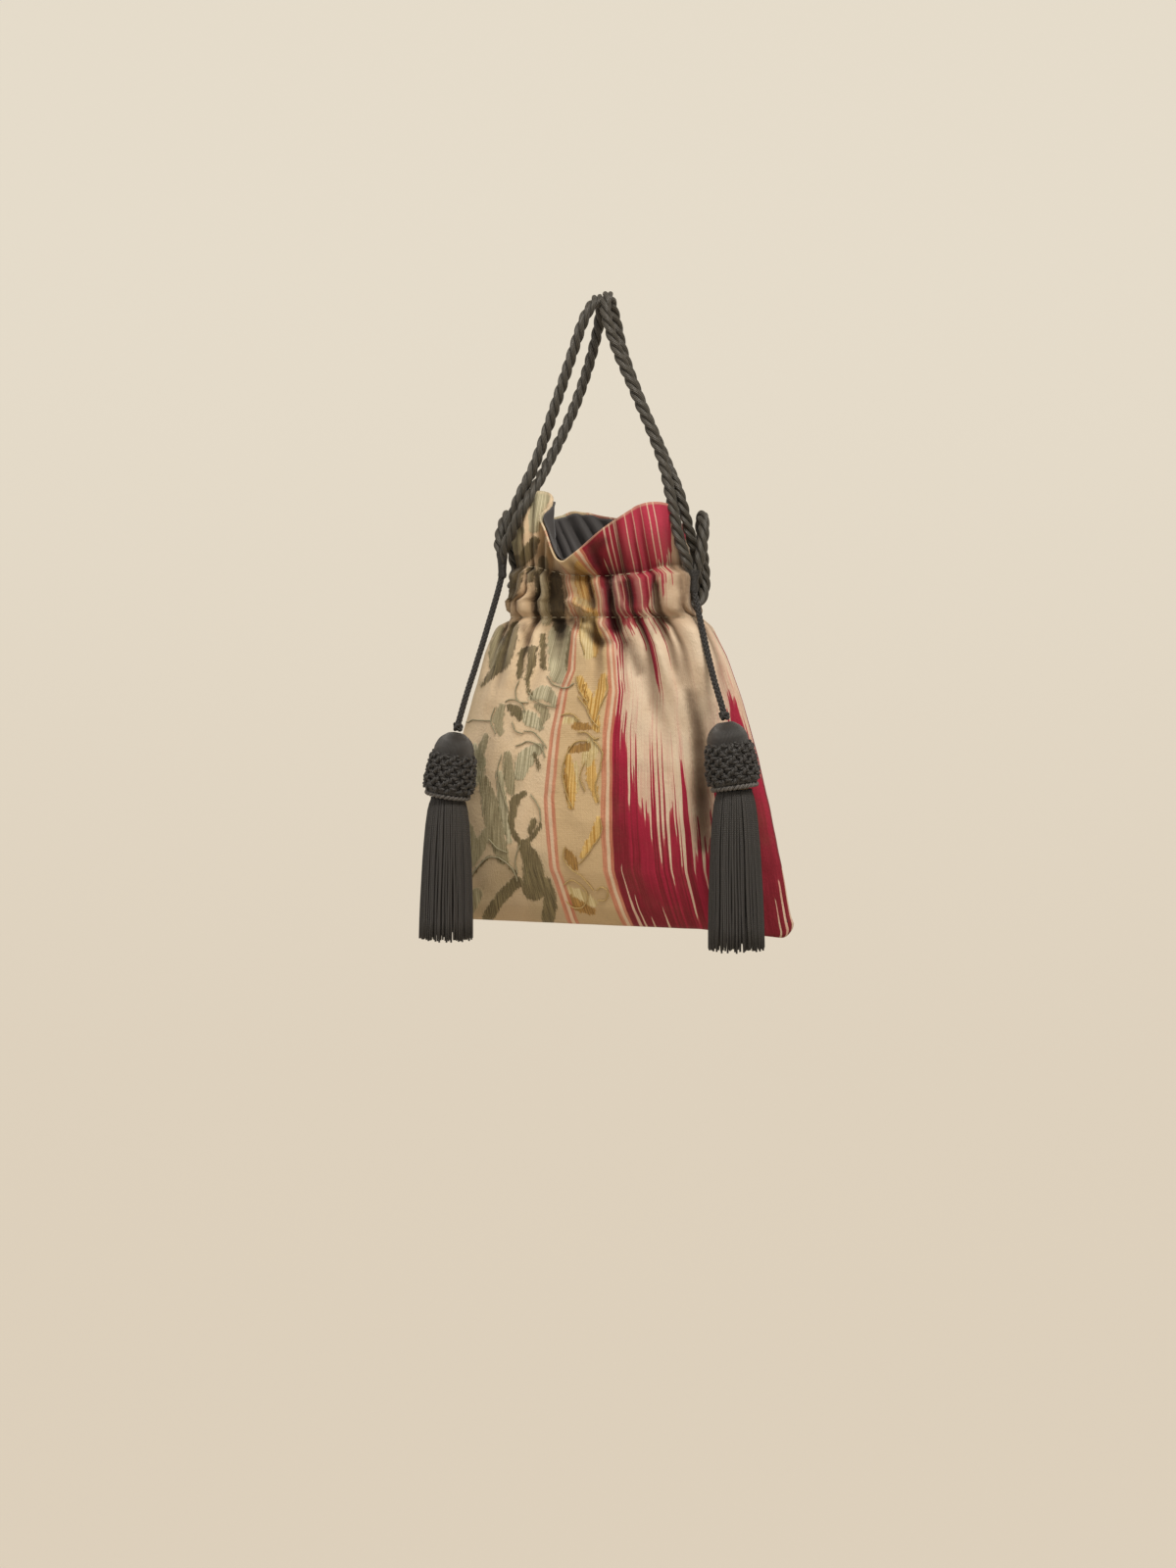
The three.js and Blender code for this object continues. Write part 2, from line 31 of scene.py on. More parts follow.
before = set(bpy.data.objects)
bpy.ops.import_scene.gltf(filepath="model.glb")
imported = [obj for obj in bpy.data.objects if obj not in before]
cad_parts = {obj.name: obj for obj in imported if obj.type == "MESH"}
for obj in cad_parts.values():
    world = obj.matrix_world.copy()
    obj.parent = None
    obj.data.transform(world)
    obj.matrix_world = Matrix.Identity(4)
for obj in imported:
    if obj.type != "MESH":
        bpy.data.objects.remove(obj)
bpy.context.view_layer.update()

MM = 0.001
SEED = 41
AZIMUTH = math.radians(18)
ELEVATION = math.radians(4)
CAMERA_DISTANCE = 1.08
LENS = 50
SENSOR = 36
PICTURE = (1200, 1600)
PIXELS_PER_MM = LENS / SENSOR * PICTURE[1] / (CAMERA_DISTANCE / MM)
VIEW_CENTRE = (PICTURE[0] / 2, PICTURE[1] / 2)
VIEW_TARGET = (-8.5, -239)

# Camera

def camera_axes():
    right = Vector((math.cos(AZIMUTH), math.sin(AZIMUTH), 0))
    back = Vector((
        math.sin(AZIMUTH) * math.cos(ELEVATION),
        -math.cos(AZIMUTH) * math.cos(ELEVATION),
        math.sin(ELEVATION),
    ))
    return right, back, back.cross(right)


def make_camera():
    right, back, up = camera_axes()
    target = (right * VIEW_TARGET[0] + up * VIEW_TARGET[1]) * MM
    data = bpy.data.cameras.new("camera")
    data.lens = LENS
    camera = bpy.data.objects.new("camera", data)
    camera.location = target + back * CAMERA_DISTANCE
    camera.rotation_mode = "QUATERNION"
    camera.rotation_quaternion = (-back).to_track_quat("-Z", "Y")
    bpy.context.scene.collection.objects.link(camera)
    bpy.context.scene.camera = camera


def seen_pixels(points):
    """Where points are seen, as pixels of the photograph."""
    right, back, up = (np.array(axis) for axis in camera_axes())
    near = PIXELS_PER_MM / (1 - (points @ back) * MM / CAMERA_DISTANCE)
    across = (points @ right - VIEW_TARGET[0]) * near
    upward = (points @ up - VIEW_TARGET[1]) * near
    return np.stack([VIEW_CENTRE[0] + across, VIEW_CENTRE[1] - upward], axis=-1)


def point_seen(pixel_x, pixel_y, y):
    """The point that is seen at a pixel and lies at a depth y."""
    right, back, up = camera_axes()
    point = Vector((0, y, -100))
    for _ in range(6):
        near = PIXELS_PER_MM / (1 - point.dot(back) * MM / CAMERA_DISTANCE)
        across = (pixel_x - VIEW_CENTRE[0]) / near + VIEW_TARGET[0]
        upward = (VIEW_CENTRE[1] - pixel_y) / near + VIEW_TARGET[1]
        x = (across - y * right.y) / right.x
        point = Vector((x, y, (upward - x * up.x - y * up.y) / up.z))
    return tuple(point)


make_camera()

# Lines and threads

CURVE_STEPS = 24
STEADY_START = [0.2, 0.9, 0.4]


def smooth_route(points, spacing):
    """A smooth curve through the points, as even steps of about the spacing."""
    given = np.array(points, float)
    ends = np.vstack([2 * given[0] - given[1], given, 2 * given[-1] - given[-2]])
    line = []
    for a, b, c, d in zip(ends, ends[1:], ends[2:], ends[3:]):
        gaps = (b - a, c - b, d - c)
        first, middle, last = (max(np.linalg.norm(gap) ** 0.5, 1e-4) for gap in gaps)
        leave = ((b - a) / first - (c - a) / (first + middle) + (c - b) / middle) * middle
        arrive = ((c - b) / middle - (d - b) / (middle + last) + (d - c) / last) * middle
        t = np.linspace(0, 1, CURVE_STEPS, endpoint=False)[:, None]
        line.append(
            b + leave * t
            + (-3 * b + 3 * c - 2 * leave - arrive) * t ** 2
            + (2 * b - 2 * c + leave + arrive) * t ** 3
        )
    return even_steps(np.vstack([*line, given[-1:]]), spacing)


def distance_along(line):
    return np.concatenate([[0], np.cumsum(np.linalg.norm(np.diff(line, axis=0), axis=1))])


def even_steps(line, spacing):
    along = distance_along(line)
    count = max(int(round(along[-1] / spacing)), 2)
    stops = np.linspace(0, along[-1], count + 1)
    return np.stack([np.interp(stops, along, line[:, i]) for i in range(3)], axis=1)


def side_axes(line):
    """Two axes across the line at each of its points, which turn as little as they can."""
    tangents = np.gradient(line, axis=0)
    tangents /= np.linalg.norm(tangents, axis=1)[:, None]
    start = np.cross(tangents[0], STEADY_START)
    across = np.zeros_like(line)
    current = start / np.linalg.norm(start)
    for i, tangent in enumerate(tangents):
        current = current - tangent * current.dot(tangent)
        current /= np.linalg.norm(current)
        across[i] = current
    return across, np.cross(tangents, across)


def ring_round(turn, across, over):
    return np.cos(turn)[:, None] * across + np.sin(turn)[:, None] * over


def plies(line, count, radius, pitch, phase=0.0):
    """Lines that wind round a line, as the plies of a twisted cord do."""
    across, over = side_axes(line)
    reach = np.broadcast_to(np.asarray(radius, float), len(line))[:, None]
    wound = []
    for k in range(count):
        turn = phase + 2 * math.pi * (k / count) - 2 * math.pi * distance_along(line) / pitch
        wound.append(line + reach * ring_round(turn, across, over))
    return wound


def threads(name, lines, radius, sides, material, tones=None, taper=0):
    """Round threads along lines, as one mesh: u runs round a thread and v along it in metres."""
    vertices, faces, uvs, tone = [], [], [], []
    start = 0
    for k, line in enumerate(lines):
        across, over = side_axes(line)
        count = len(line)
        thick = np.array(np.broadcast_to(np.asarray(radius, float), count))
        if taper:
            thick[0] *= taper
            thick[-1] *= taper
        turn = np.linspace(0, 2 * math.pi, sides, endpoint=False)[None, :, None]
        ring = across[:, None] * np.cos(turn) + over[:, None] * np.sin(turn)
        vertices.append((line[:, None] + ring * thick[:, None, None]).reshape(-1, 3))
        along = distance_along(line) * MM
        for i in range(count - 1):
            for j in range(sides):
                corners = ((i, j), (i, j + 1), (i + 1, j + 1), (i + 1, j))
                faces.append(tuple(start + row * sides + spoke % sides for row, spoke in corners))
                uvs.extend((spoke / sides, along[row]) for row, spoke in corners)
        for row, spokes in ((0, range(sides)[::-1]), (count - 1, range(sides))):
            faces.append(tuple(start + row * sides + j for j in spokes))
            uvs.extend((j / sides, along[row]) for j in spokes)
        tone.extend([tones[k] if tones is not None else 0.5] * (count * sides))
        start += count * sides
    mesh = bpy.data.meshes.new(name)
    mesh.from_pydata(np.vstack(vertices) * MM, [], faces)
    mesh.uv_layers.new(name="thread").data.foreach_set("uv", np.array(uvs, np.float32).ravel())
    point_values(mesh, "tone", tone)
    return piece_of(name, mesh, material)


def point_values(mesh, name, values):
    layer = mesh.attributes.new(name, "FLOAT", "POINT")
    layer.data.foreach_set("value", np.asarray(values, np.float32).ravel())


def piece_of(name, mesh, material):
    mesh.polygons.foreach_set("use_smooth", [True] * len(mesh.polygons))
    mesh.materials.append(material)
    mesh.update()
    piece = bpy.data.objects.new(name, mesh)
    bpy.context.scene.collection.objects.link(piece)
    return piece


def settle(piece, body, node=None):
    """Joins a piece to its body, and hides the CAD node it takes the place of, if any."""
    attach(piece, body)
    if node:
        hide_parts(node)


# Materials

class Shading:
    """Places nodes in a tree and joins them."""

    def __init__(self, tree):
        self.tree = tree

    def put(self, socket, value):
        if isinstance(value, bpy.types.NodeSocket):
            self.tree.links.new(value, socket)
        else:
            socket.default_value = value

    def node(self, kind, inputs=None, **settings):
        made = self.tree.nodes.new(kind)
        for key, value in settings.items():
            setattr(made, key, value)
        for key, value in (inputs or {}).items():
            self.put(made.inputs[key], value)
        return made

    def maths(self, operation, *values):
        made = self.node("ShaderNodeMath", operation=operation)
        for socket, value in zip(made.inputs, values):
            self.put(socket, value)
        return made.outputs[0]

    def times(self, first, second):
        return self.maths("MULTIPLY", first, second)

    def plus(self, first, second):
        return self.maths("ADD", first, second)

    def minus(self, first, second):
        return self.maths("SUBTRACT", first, second)

    def most(self, first, second):
        return self.maths("MAXIMUM", first, second)

    def scaled(self, value, factor, offset):
        return self.maths("MULTIPLY_ADD", value, factor, offset)

    def mix(self, share, first, second, blend="MIX"):
        made = self.node("ShaderNodeMix", data_type="RGBA", blend_type=blend)
        self.put(made.inputs[0], share)
        self.put(made.inputs[6], first)
        self.put(made.inputs[7], second)
        return made.outputs[2]

    def ramp(self, value, low, high, start=0.0, end=1.0, smooth=True):
        made = self.node("ShaderNodeMapRange", interpolation_type="SMOOTHSTEP" if smooth else "LINEAR")
        for socket, given in zip(made.inputs, (value, low, high, start, end)):
            self.put(socket, given)
        return made.outputs[0]

    def attribute(self, name):
        return self.node("ShaderNodeAttribute", attribute_name=name).outputs["Fac"]

    def noise(self, vector, scale, detail=3.0):
        return self.node("ShaderNodeTexNoise", {
            "Vector": vector, "Scale": scale, "Detail": detail, "Roughness": 0.55,
        }).outputs["Fac"]

    def grain(self, vector, scale, detail=3.0):
        """Noise with a scale for each direction."""
        drawn = self.node("ShaderNodeMapping", {"Vector": vector, "Scale": scale}).outputs[0]
        return self.noise(drawn, 1.0, detail)

    def bump(self, height, strength, distance):
        inputs = {"Height": height, "Strength": strength, "Distance": distance}
        return self.node("ShaderNodeBump", inputs).outputs[0]


def linear(red, green, blue):
    """A colour given as 0 to 255 in the usual display values."""
    def one(value):
        share = value / 255
        return share / 12.92 if share <= 0.04045 else ((share + 0.055) / 1.055) ** 2.4
    return (one(red), one(green), one(blue), 1)


def new_material(name):
    material = bpy.data.materials.new(name)
    material.use_nodes = True
    shading = Shading(material.node_tree)
    return material, shading, material.node_tree.nodes["Principled BSDF"]


def new_group(name, inputs, outputs):
    tree = bpy.data.node_groups.new(name, "ShaderNodeTree")
    for label, kind, default in inputs:
        socket = tree.interface.new_socket(name=label, in_out="INPUT", socket_type=kind)
        if default is not None:
            socket.default_value = default
    for label, kind in outputs:
        tree.interface.new_socket(name=label, in_out="OUTPUT", socket_type=kind)
    return tree, Shading(tree), tree.nodes.new("NodeGroupInput"), tree.nodes.new("NodeGroupOutput")


def make_thread_group():
    """Height of the fine plies of a thread, and its fuzz of fine fibres."""
    tree, shading, given, result = new_group("thread plies", [
        ("Thread", "NodeSocketVector", None),
        ("Plies", "NodeSocketFloat", 3.0),
        ("Turns per metre", "NodeSocketFloat", 400.0),
    ], [("Height", "NodeSocketFloat"), ("Fuzz", "NodeSocketFloat")])
    parts = shading.node("ShaderNodeSeparateXYZ", {0: given.outputs["Thread"]})
    place = shading.plus(
        shading.times(parts.outputs[0], given.outputs["Plies"]),
        shading.times(parts.outputs[1], given.outputs["Turns per metre"]))
    lobe = shading.maths("ABSOLUTE", shading.maths("SINE", shading.times(place, math.pi)))
    shading.put(result.inputs["Height"], shading.maths("POWER", lobe, 0.6))
    shading.put(result.inputs["Fuzz"], shading.grain(given.outputs["Thread"], (6.0, 900.0, 1.0)))
    return tree


def make_weave_group():
    """Height of a plain weave in the cloth's own flat coordinates, in metres."""
    tree, shading, given, result = new_group("plain weave", [
        ("Cloth", "NodeSocketVector", None),
        ("Threads across", "NodeSocketFloat", 1800.0),
        ("Threads up", "NodeSocketFloat", 1500.0),
    ], [("Height", "NodeSocketFloat")])
    parts = shading.node("ShaderNodeSeparateXYZ", {0: given.outputs["Cloth"]})
    across, upward = (
        shading.maths("SINE", shading.times(shading.times(part, given.outputs[count]), math.pi))
        for part, count in zip(parts.outputs, ("Threads across", "Threads up")))
    shading.put(result.inputs["Height"], shading.scaled(shading.times(across, upward), 0.5, 0.5))
    return tree


thread_group = make_thread_group()
weave_group = make_weave_group()


def place_group(shading, tree, inputs):
    made = shading.node("ShaderNodeGroup", node_tree=tree)
    for key, value in inputs.items():
        shading.put(made.inputs[key], value)
    return made


def silk_thread(name, colour, glint, ply_count, turns, roughness=0.42, depth=0.00035):
    """Twisted silk or rayon thread, with its plies as bump and a little change of tone."""
    material, shading, surface = new_material(name)
    along = shading.node("ShaderNodeUVMap", uv_map="thread").outputs[0]
    given = {"Thread": along, "Plies": ply_count, "Turns per metre": turns}
    height, fuzz = place_group(shading, thread_group, given).outputs
    # painted highlight: the crests of the plies and patches of fuzz are lightened towards the glint colour
    shade = shading.mix(shading.times(height, 0.8), colour, glint)
    varied = shading.mix(shading.ramp(shading.attribute("tone"), 0.0, 1.0, 0.35, 0.0), shade, (0, 0, 0, 1))
    fuzz_glint = shading.mix(shading.ramp(fuzz, 0.45, 0.8, 0.0, 0.35), varied, glint)
    shading.put(surface.inputs["Base Color"], fuzz_glint)
    shading.put(surface.inputs["Roughness"], shading.scaled(fuzz, 0.25, roughness - 0.1))
    surface.inputs["Specular IOR Level"].default_value = 0.45
    surface.inputs["Sheen Weight"].default_value = 0.12
    surface.inputs["Sheen Roughness"].default_value = 0.4
    shading.put(surface.inputs["Normal"], shading.bump(height, 0.7, depth))
    return material


BLACK_SILK = (0.013, 0.011, 0.0095, 1)
BLACK_GLINT = (0.060, 0.053, 0.046, 1)
rope_silk = silk_thread("twisted rope", (0.019, 0.016, 0.012, 1), (0.115, 0.10, 0.076, 1), 9.0, 330.0, 0.38)
cord_silk = silk_thread("braided cord", BLACK_SILK, BLACK_GLINT, 4.0, 500.0)
binding_silk = silk_thread("binding thread", BLACK_SILK, BLACK_GLINT, 4.0, 700.0)
fringe_silk = silk_thread("fringe thread", BLACK_SILK, BLACK_GLINT, 2.0, 1150.0, 0.5)
cover_silk = silk_thread("tassel thread", BLACK_SILK, BLACK_GLINT, 96.0, 0.0, 0.4, 0.0006)
whipping_silk = silk_thread("whipping thread", BLACK_SILK, BLACK_GLINT, 3.0, 700.0)
ring_silk = silk_thread("ring thread", (0.05, 0.045, 0.04, 1), (0.2, 0.18, 0.16, 1), 4.0, 600.0)

# Drawcords

ROPE_PITCH = 19.4
STRAND_RADIUS = 1.33
STRAND_REACH = 1.52
STRAND_TONES = [0.5, 0.62, 0.42]
END_NARROWING = 9
END_SHARE = 0.55
LEFT_ROPE_ROUTE = [
    (-48.9, -14.5, -128.5), (-47.0, -16.3, -120.5), (-43.5, -17.3, -114), (-37.0, -18.4, -102),
    (-31.6, -11.0, -89), (-27.9, -4.0, -77.5), (-22.4, 2.0, -63), (-16.6, 6.2, -46.7),
    (-10.0, 8.8, -25), (-5.7, 8.4, -8), (-3.9, 4.8, -0.4), (-3.7, 0, 1.6), (-4.3, -5.0, -0.8),
    (-7.5, -9.0, -8), (-13.8, -10.2, -26), (-20.9, -10.8, -46.7), (-32.5, -12.0, -79),
    (-41.4, -14.6, -99), (-46.3, -11.2, -111), (-47.8, -4.4, -120), (-47.8, -0.6, -128),
    (-45.0, 5.2, -135), (-37.8, 11.0, -137), (-22.8, 16.1, -137.5), (0, 18.2, -138), (22.8, 16.1, -138),
    (36.5, 10.2, -138), (41.2, 0, -138), (36.5, -10.2, -138.5), (22.8, -16.1, -139), (0, -18.2, -139.5),
    (-22.8, -16.1, -140.5), (-38, -11.0, -141.5), (-45.6, -4.4, -142), (-49.8, 1.6, -140.8),
    (-50.6, 7.2, -133.5), (-47.6, 7.4, -115), (-50.4, -1.5, -103.8), (-52.4, -10.3, -116.5),
    (-50.5, -12.7, -128.5),
]
RIGHT_ROPE_ROUTE = [
    (48.9, -14.5, -136.5), (47.0, -16.3, -128.5), (43.8, -17.2, -120), (40.1, -16.9, -104),
    (33.1, -12.6, -79), (19.3, -11.0, -46.7), (9.0, -10.2, -24), (3.4, -8.9, -8), (1.9, -5.0, 0.5),
    (1.6, 0, 2.9), (1.5, 5.0, 0.6), (2.8, 8.8, -8), (6.6, 8.9, -24), (15.8, 6.0, -46.7),
    (32.4, -3.6, -79), (41.4, -10.6, -96), (46.4, -8.2, -116), (48.4, -2.4, -127.5),
    (47.2, 2.2, -136.5), (43.8, 7.0, -143.5), (37.2, 11.4, -146.3), (22.8, 16.1, -147),
    (0, 18.2, -147.5), (-22.8, 16.1, -148), (-36.5, 10.2, -148), (-41.2, 0, -148.5),
    (-36.5, -10.2, -149), (-22.8, -16.1, -149.5), (0, -18.2, -150), (22.8, -16.1, -150.5),
    (37.6, -11.0, -150.6), (44.4, -4.6, -150), (48.4, 1.6, -148.2), (49.6, 7.4, -141),
    (48.6, 8.2, -126), (48.2, 4.4, -110.5), (51.0, -2.4, -106.2), (53.3, -8.2, -113),
    (52.6, -11.0, -124), (50.5, -12.7, -136.5),
]


def make_drawcord(side, points):
    line = smooth_route(points, 1.0)
    along = distance_along(line)
    from_end = np.clip(np.minimum(along, along[-1] - along) / END_NARROWING, 0, 1)
    narrow = END_SHARE + (1 - END_SHARE) * from_end
    strands = plies(line, len(STRAND_TONES), STRAND_REACH * narrow, ROPE_PITCH)
    rope = threads(f"{side}_rope", strands, STRAND_RADIUS * narrow, 10, rope_silk, STRAND_TONES)
    settle(rope, "pouch", f"{side}_drawcord")


make_drawcord("left", LEFT_ROPE_ROUTE)
make_drawcord("right", RIGHT_ROPE_ROUTE)

# Tassel cords

LEFT_CORD_ROUTE = [
    (-50.3, -14.0, -137.1), (-51.3, -14.8, -142), (-52.5, -15.6, -147), (-53.7, -16.6, -152),
    (-54.9, -17.7, -157), (-56.1, -18.8, -162), (-57.3, -19.8, -167), (-58.6, -20.8, -172),
    (-59.9, -21.9, -177), (-61.2, -22.8, -182), (-62.6, -23.8, -187), (-64.0, -24.7, -192),
    (-65.3, -25.6, -197), (-66.6, -26.3, -202), (-68.0, -27.0, -207.5),
]
RIGHT_CORD_ROUTE = [
    (50.3, -14.0, -145.1), (51.4, -14.8, -149), (52.6, -15.7, -153), (53.7, -16.7, -157),
    (54.9, -17.7, -160.9), (56.1, -18.8, -164.9), (57.3, -19.8, -168.9), (58.5, -20.8, -172.9),
    (59.8, -21.9, -176.9), (61.1, -22.9, -180.8), (62.4, -23.8, -184.8), (63.8, -24.8, -188.8),
    (65.3, -25.7, -192.8), (66.7, -26.4, -196.6), (68.0, -27.0, -200.3),
]
NECK = {"left": (-68.7, -27.4, -210.6), "right": (68.7, -27.4, -203.4)}
WHIPPING_TURN = 0.88
WHIPPING_CENTRE = {"left": (-49.7, -13.6, -127), "right": (49.7, -13.6, -135)}
BALL_DEPTH = 7.75
BRAID_REACH = 1.08
BRAID_WEAVE = 0.2
BRAID_STRAND = 0.42
BRAID_PITCH = 11


def braid_round(line, strands_each_way, radius, weave, turn_per_mm):
    """Two families of strands that wind both ways round a line, over and under each other."""
    across, over = side_axes(line)
    along = distance_along(line)
    reach = np.broadcast_to(np.asarray(radius, float), along.shape)
    made = []
    for way in (1, -1):
        lift = reach + way * weave * np.cos(strands_each_way * turn_per_mm * along)
        for k in range(strands_each_way):
            turn = 2 * math.pi * k / strands_each_way + way * turn_per_mm * along
            made.append(line + lift[:, None] * ring_round(turn, across, over))
    return made


def make_tassel_cord(side, points):
    x, y, z = WHIPPING_CENTRE[side]
    line = smooth_route([(x, y, z - BALL_DEPTH), *points, NECK[side]], 0.5)
    strands = braid_round(line, 5, BRAID_REACH, BRAID_WEAVE, 2 * math.pi / BRAID_PITCH)
    return threads(f"{side}_thin_cord", strands, BRAID_STRAND, 6, cord_silk), line


# Tassels

OUTWARDS = {"left": -1, "right": 1}
KNOT_SIZE = 0.64
HEAD_RADIUS = 10.2
HEAD_LENGTH = 31
HEAD_TOP = -3.05
HEAD_LOW = HEAD_TOP - HEAD_LENGTH
HEAD_OUTLINE = [
    (0.53, 0.03), (0.82, 0.12), (0.98, 0.24), (1, 0.37), (1.07, 0.58), (1.08, 0.74), (0.97, 0.885),
]
COLLAR_HIGH = HEAD_TOP - 10.8
COLLAR_LOW = HEAD_LOW + 1
SKIRT_GAP = 0.35
SKIRT_NECK = 8.7
SKIRT_RADIUS = 13.9
SKIRT_LENGTH = {"left": 72, "right": 78}
# Rounds of fringe threads: how far inside the skirt each is, and its number of threads
FRINGE_ROUNDS = [(0.72, 62), (1.9, 50), (3.6, 36)]
HEAD_TILT = math.radians(9)
SKIRT_TILT = math.radians(1)


def leaning(side, seat, tilt):
    return Matrix.Translation(seat) @ Matrix.Rotation(-OUTWARDS[side] * tilt, 4, "Y")


def head_place(side):
    return leaning(side, Vector(NECK[side]) * MM, HEAD_TILT)


def skirt_place(side):
    seat = head_place(side) @ Vector((0, 0, (HEAD_LOW - SKIRT_GAP) * MM))
    drop = Matrix.Translation(Vector((0, 0, -SKIRT_NECK * math.sin(HEAD_TILT - SKIRT_TILT) * MM)))
    return leaning(side, seat, SKIRT_TILT) @ drop


def spun(name, outline, material, place, segments=72):
    """A turned shell from an outline of (radius, height), with u round it and v along its height."""
    shape = bmesh.new()
    points = [shape.verts.new((radius * MM, 0, height * MM)) for radius, height in outline]
    edges = [shape.edges.new(pair) for pair in zip(points, points[1:])]
    bmesh.ops.spin(shape, geom=points + edges, cent=(0, 0, 0), axis=(0, 0, 1),
        angle=2 * math.pi, steps=segments, use_merge=True)
    bmesh.ops.remove_doubles(shape, verts=shape.verts, dist=1e-6)
    bmesh.ops.recalc_face_normals(shape, faces=shape.faces)
    layer = shape.loops.layers.uv.new("thread")
    for face in shape.faces:
        turns = [math.atan2(loop.vert.co.y, loop.vert.co.x) / (2 * math.pi) for loop in face.loops]
        wraps = max(turns) - min(turns) > 0.5
        for loop, turn in zip(face.loops, turns):
            loop[layer].uv = (turn + 1 if wraps and turn < 0 else turn, loop.vert.co.z)
    shape.transform(place)
    mesh = bpy.data.meshes.new(name)
    shape.to_mesh(mesh)
    shape.free()
    point_values(mesh, "tone", np.full(len(mesh.vertices), 0.5))
    return piece_of(name, mesh, material)


def placed(lines, place):
    """Lines in a tassel's own millimetres, moved to their place in the pouch."""
    turn = np.array(place.to_3x3())
    shift = np.array(place.translation) / MM
    return [line @ turn.T + shift for line in lines]


def head_radius(height):
    heights = [HEAD_LOW] + [HEAD_TOP - HEAD_LENGTH * down for _, down in reversed(HEAD_OUTLINE)]
    radii = [SKIRT_NECK] + [HEAD_RADIUS * out for out, _ in reversed(HEAD_OUTLINE)]
    return np.interp(height, heights, radii)


def make_head_cover(side):
    heights = np.linspace(HEAD_TOP - 1, HEAD_LOW, 28)
    crown = [(1.9, HEAD_TOP - 0.8), (1.9, HEAD_TOP), (2.9, HEAD_TOP), (4.2, HEAD_TOP - 0.35)]
    outline = crown + [(float(head_radius(z)), float(z)) for z in heights[1:]]
    inner = [(SKIRT_NECK - 0.8, HEAD_LOW), (9.0, HEAD_LOW + 3), (10.0, HEAD_LOW + 9),
             (9.2, HEAD_TOP - 11), (7.4, HEAD_TOP - 4.2), (4.4, HEAD_TOP - 1.7)]
    cover = spun(f"{side}_head_threads", outline + inner + outline[:1], cover_silk, head_place(side))
    settle(cover, f"{side}_tassel", f"{side}_head_cover")


def make_collar(side):
    """Knotted net round the head: thick two-ply cords that pass over and under, on a dark ground."""
    count, crossings = 12, 7
    share = np.linspace(0, 1, 60)
    heights = COLLAR_HIGH + 0.2 + (COLLAR_LOW - COLLAR_HIGH + 0.6) * share
    reach = np.interp(share, [0, 0.12, 0.4, 0.7, 0.88, 1], [9.6, 10.4, 11.1, 11.6, 11.7, 11.0])
    lines = []
    for way in (1, -1):
        lift = reach + way * 0.6 * np.cos(crossings * math.pi * share)
        for k in range(count):
            turn = 2 * math.pi * k / count + way * crossings * math.pi / count * share
            line = np.stack([lift * np.cos(turn), lift * np.sin(turn), heights], axis=1)
            lines.extend(plies(even_steps(line, 0.6), 2, 0.68, 4.6, k))
    tones = [0.35 + 0.4 * ((i * 7) % 10) / 10 for i in range(len(lines))]
    collar = threads(f"{side}_collar_net", placed(lines, head_place(side)), 0.78, 7, binding_silk, tones)
    ground = [(10.3, COLLAR_HIGH), (11.2, COLLAR_HIGH - 9), (11.4, COLLAR_LOW), (10.6, COLLAR_LOW - 0.3)]
    backing = spun(f"{side}_collar_ground", ground, whipping_silk, head_place(side), 48)
    settle(collar, f"{side}_tassel", f"{side}_braided_collar")
    settle(backing, f"{side}_tassel")


def make_binding(side):
    """Two twisted threads as a ring under the collar."""
    radius, height, twists = 10.5, COLLAR_LOW - 1.5, 15
    turn = np.linspace(0, 2 * math.pi, 160)
    centre = np.stack([radius * np.cos(turn), radius * np.sin(turn), np.full(len(turn), height)], axis=1)
    lines = plies(centre, 2, 0.6, 2 * math.pi * radius / twists)
    ring = threads(f"{side}_twisted_ring", placed(lines, head_place(side)), 0.72, 8, ring_silk)
    settle(ring, f"{side}_tassel", f"{side}_lower_binding")


def skirt_radius_at(share):
    spread = np.interp(share, [0, 0.03, 0.0625, 0.22, 0.4, 0.71, 1], [0, 0, 0.25, 0.52, 0.71, 0.9, 1])
    return SKIRT_NECK + (SKIRT_RADIUS - SKIRT_NECK) * spread


def make_skirt(side):
    pick = random.Random(SEED + OUTWARDS[side])
    lines, tones = [], []
    share = np.concatenate([[0, 0.02, 0.05, 0.1], np.linspace(0.2, 1, 7)])
    for inset, count in FRINGE_ROUNDS:
        for k in range(count):
            turn = 2 * math.pi * (k + 0.28 * pick.uniform(-1, 1)) / count
            sway = pick.uniform(-0.035, 0.035)
            length = SKIRT_LENGTH[side] - abs(pick.gauss(0, 1.3)) - 0.5 * (inset > 1)
            reach = skirt_radius_at(share) - inset + pick.uniform(-0.18, 0.18) * share
            angle = turn + sway * share ** 2 + 0.012 * np.sin(9 * share + pick.uniform(0, 6))
            lines.append(np.stack([reach * np.cos(angle), reach * np.sin(angle), -length * share], axis=1))
            tones.append(pick.uniform(0.25, 0.8))
    place = skirt_place(side)
    skirt = threads(f"{side}_fringe", placed(lines, place), 0.66, 6, fringe_silk, tones, taper=0.8)
    settle(skirt, f"{side}_tassel", f"{side}_fringe_skirt")
    outline = [(0, -10), (6.6, -10), (8.2, -30), (8.8, -62), (0, -63)]
    core = spun(f"{side}_fringe_core", outline, fringe_silk, place, 32)
    settle(core, f"{side}_tassel")


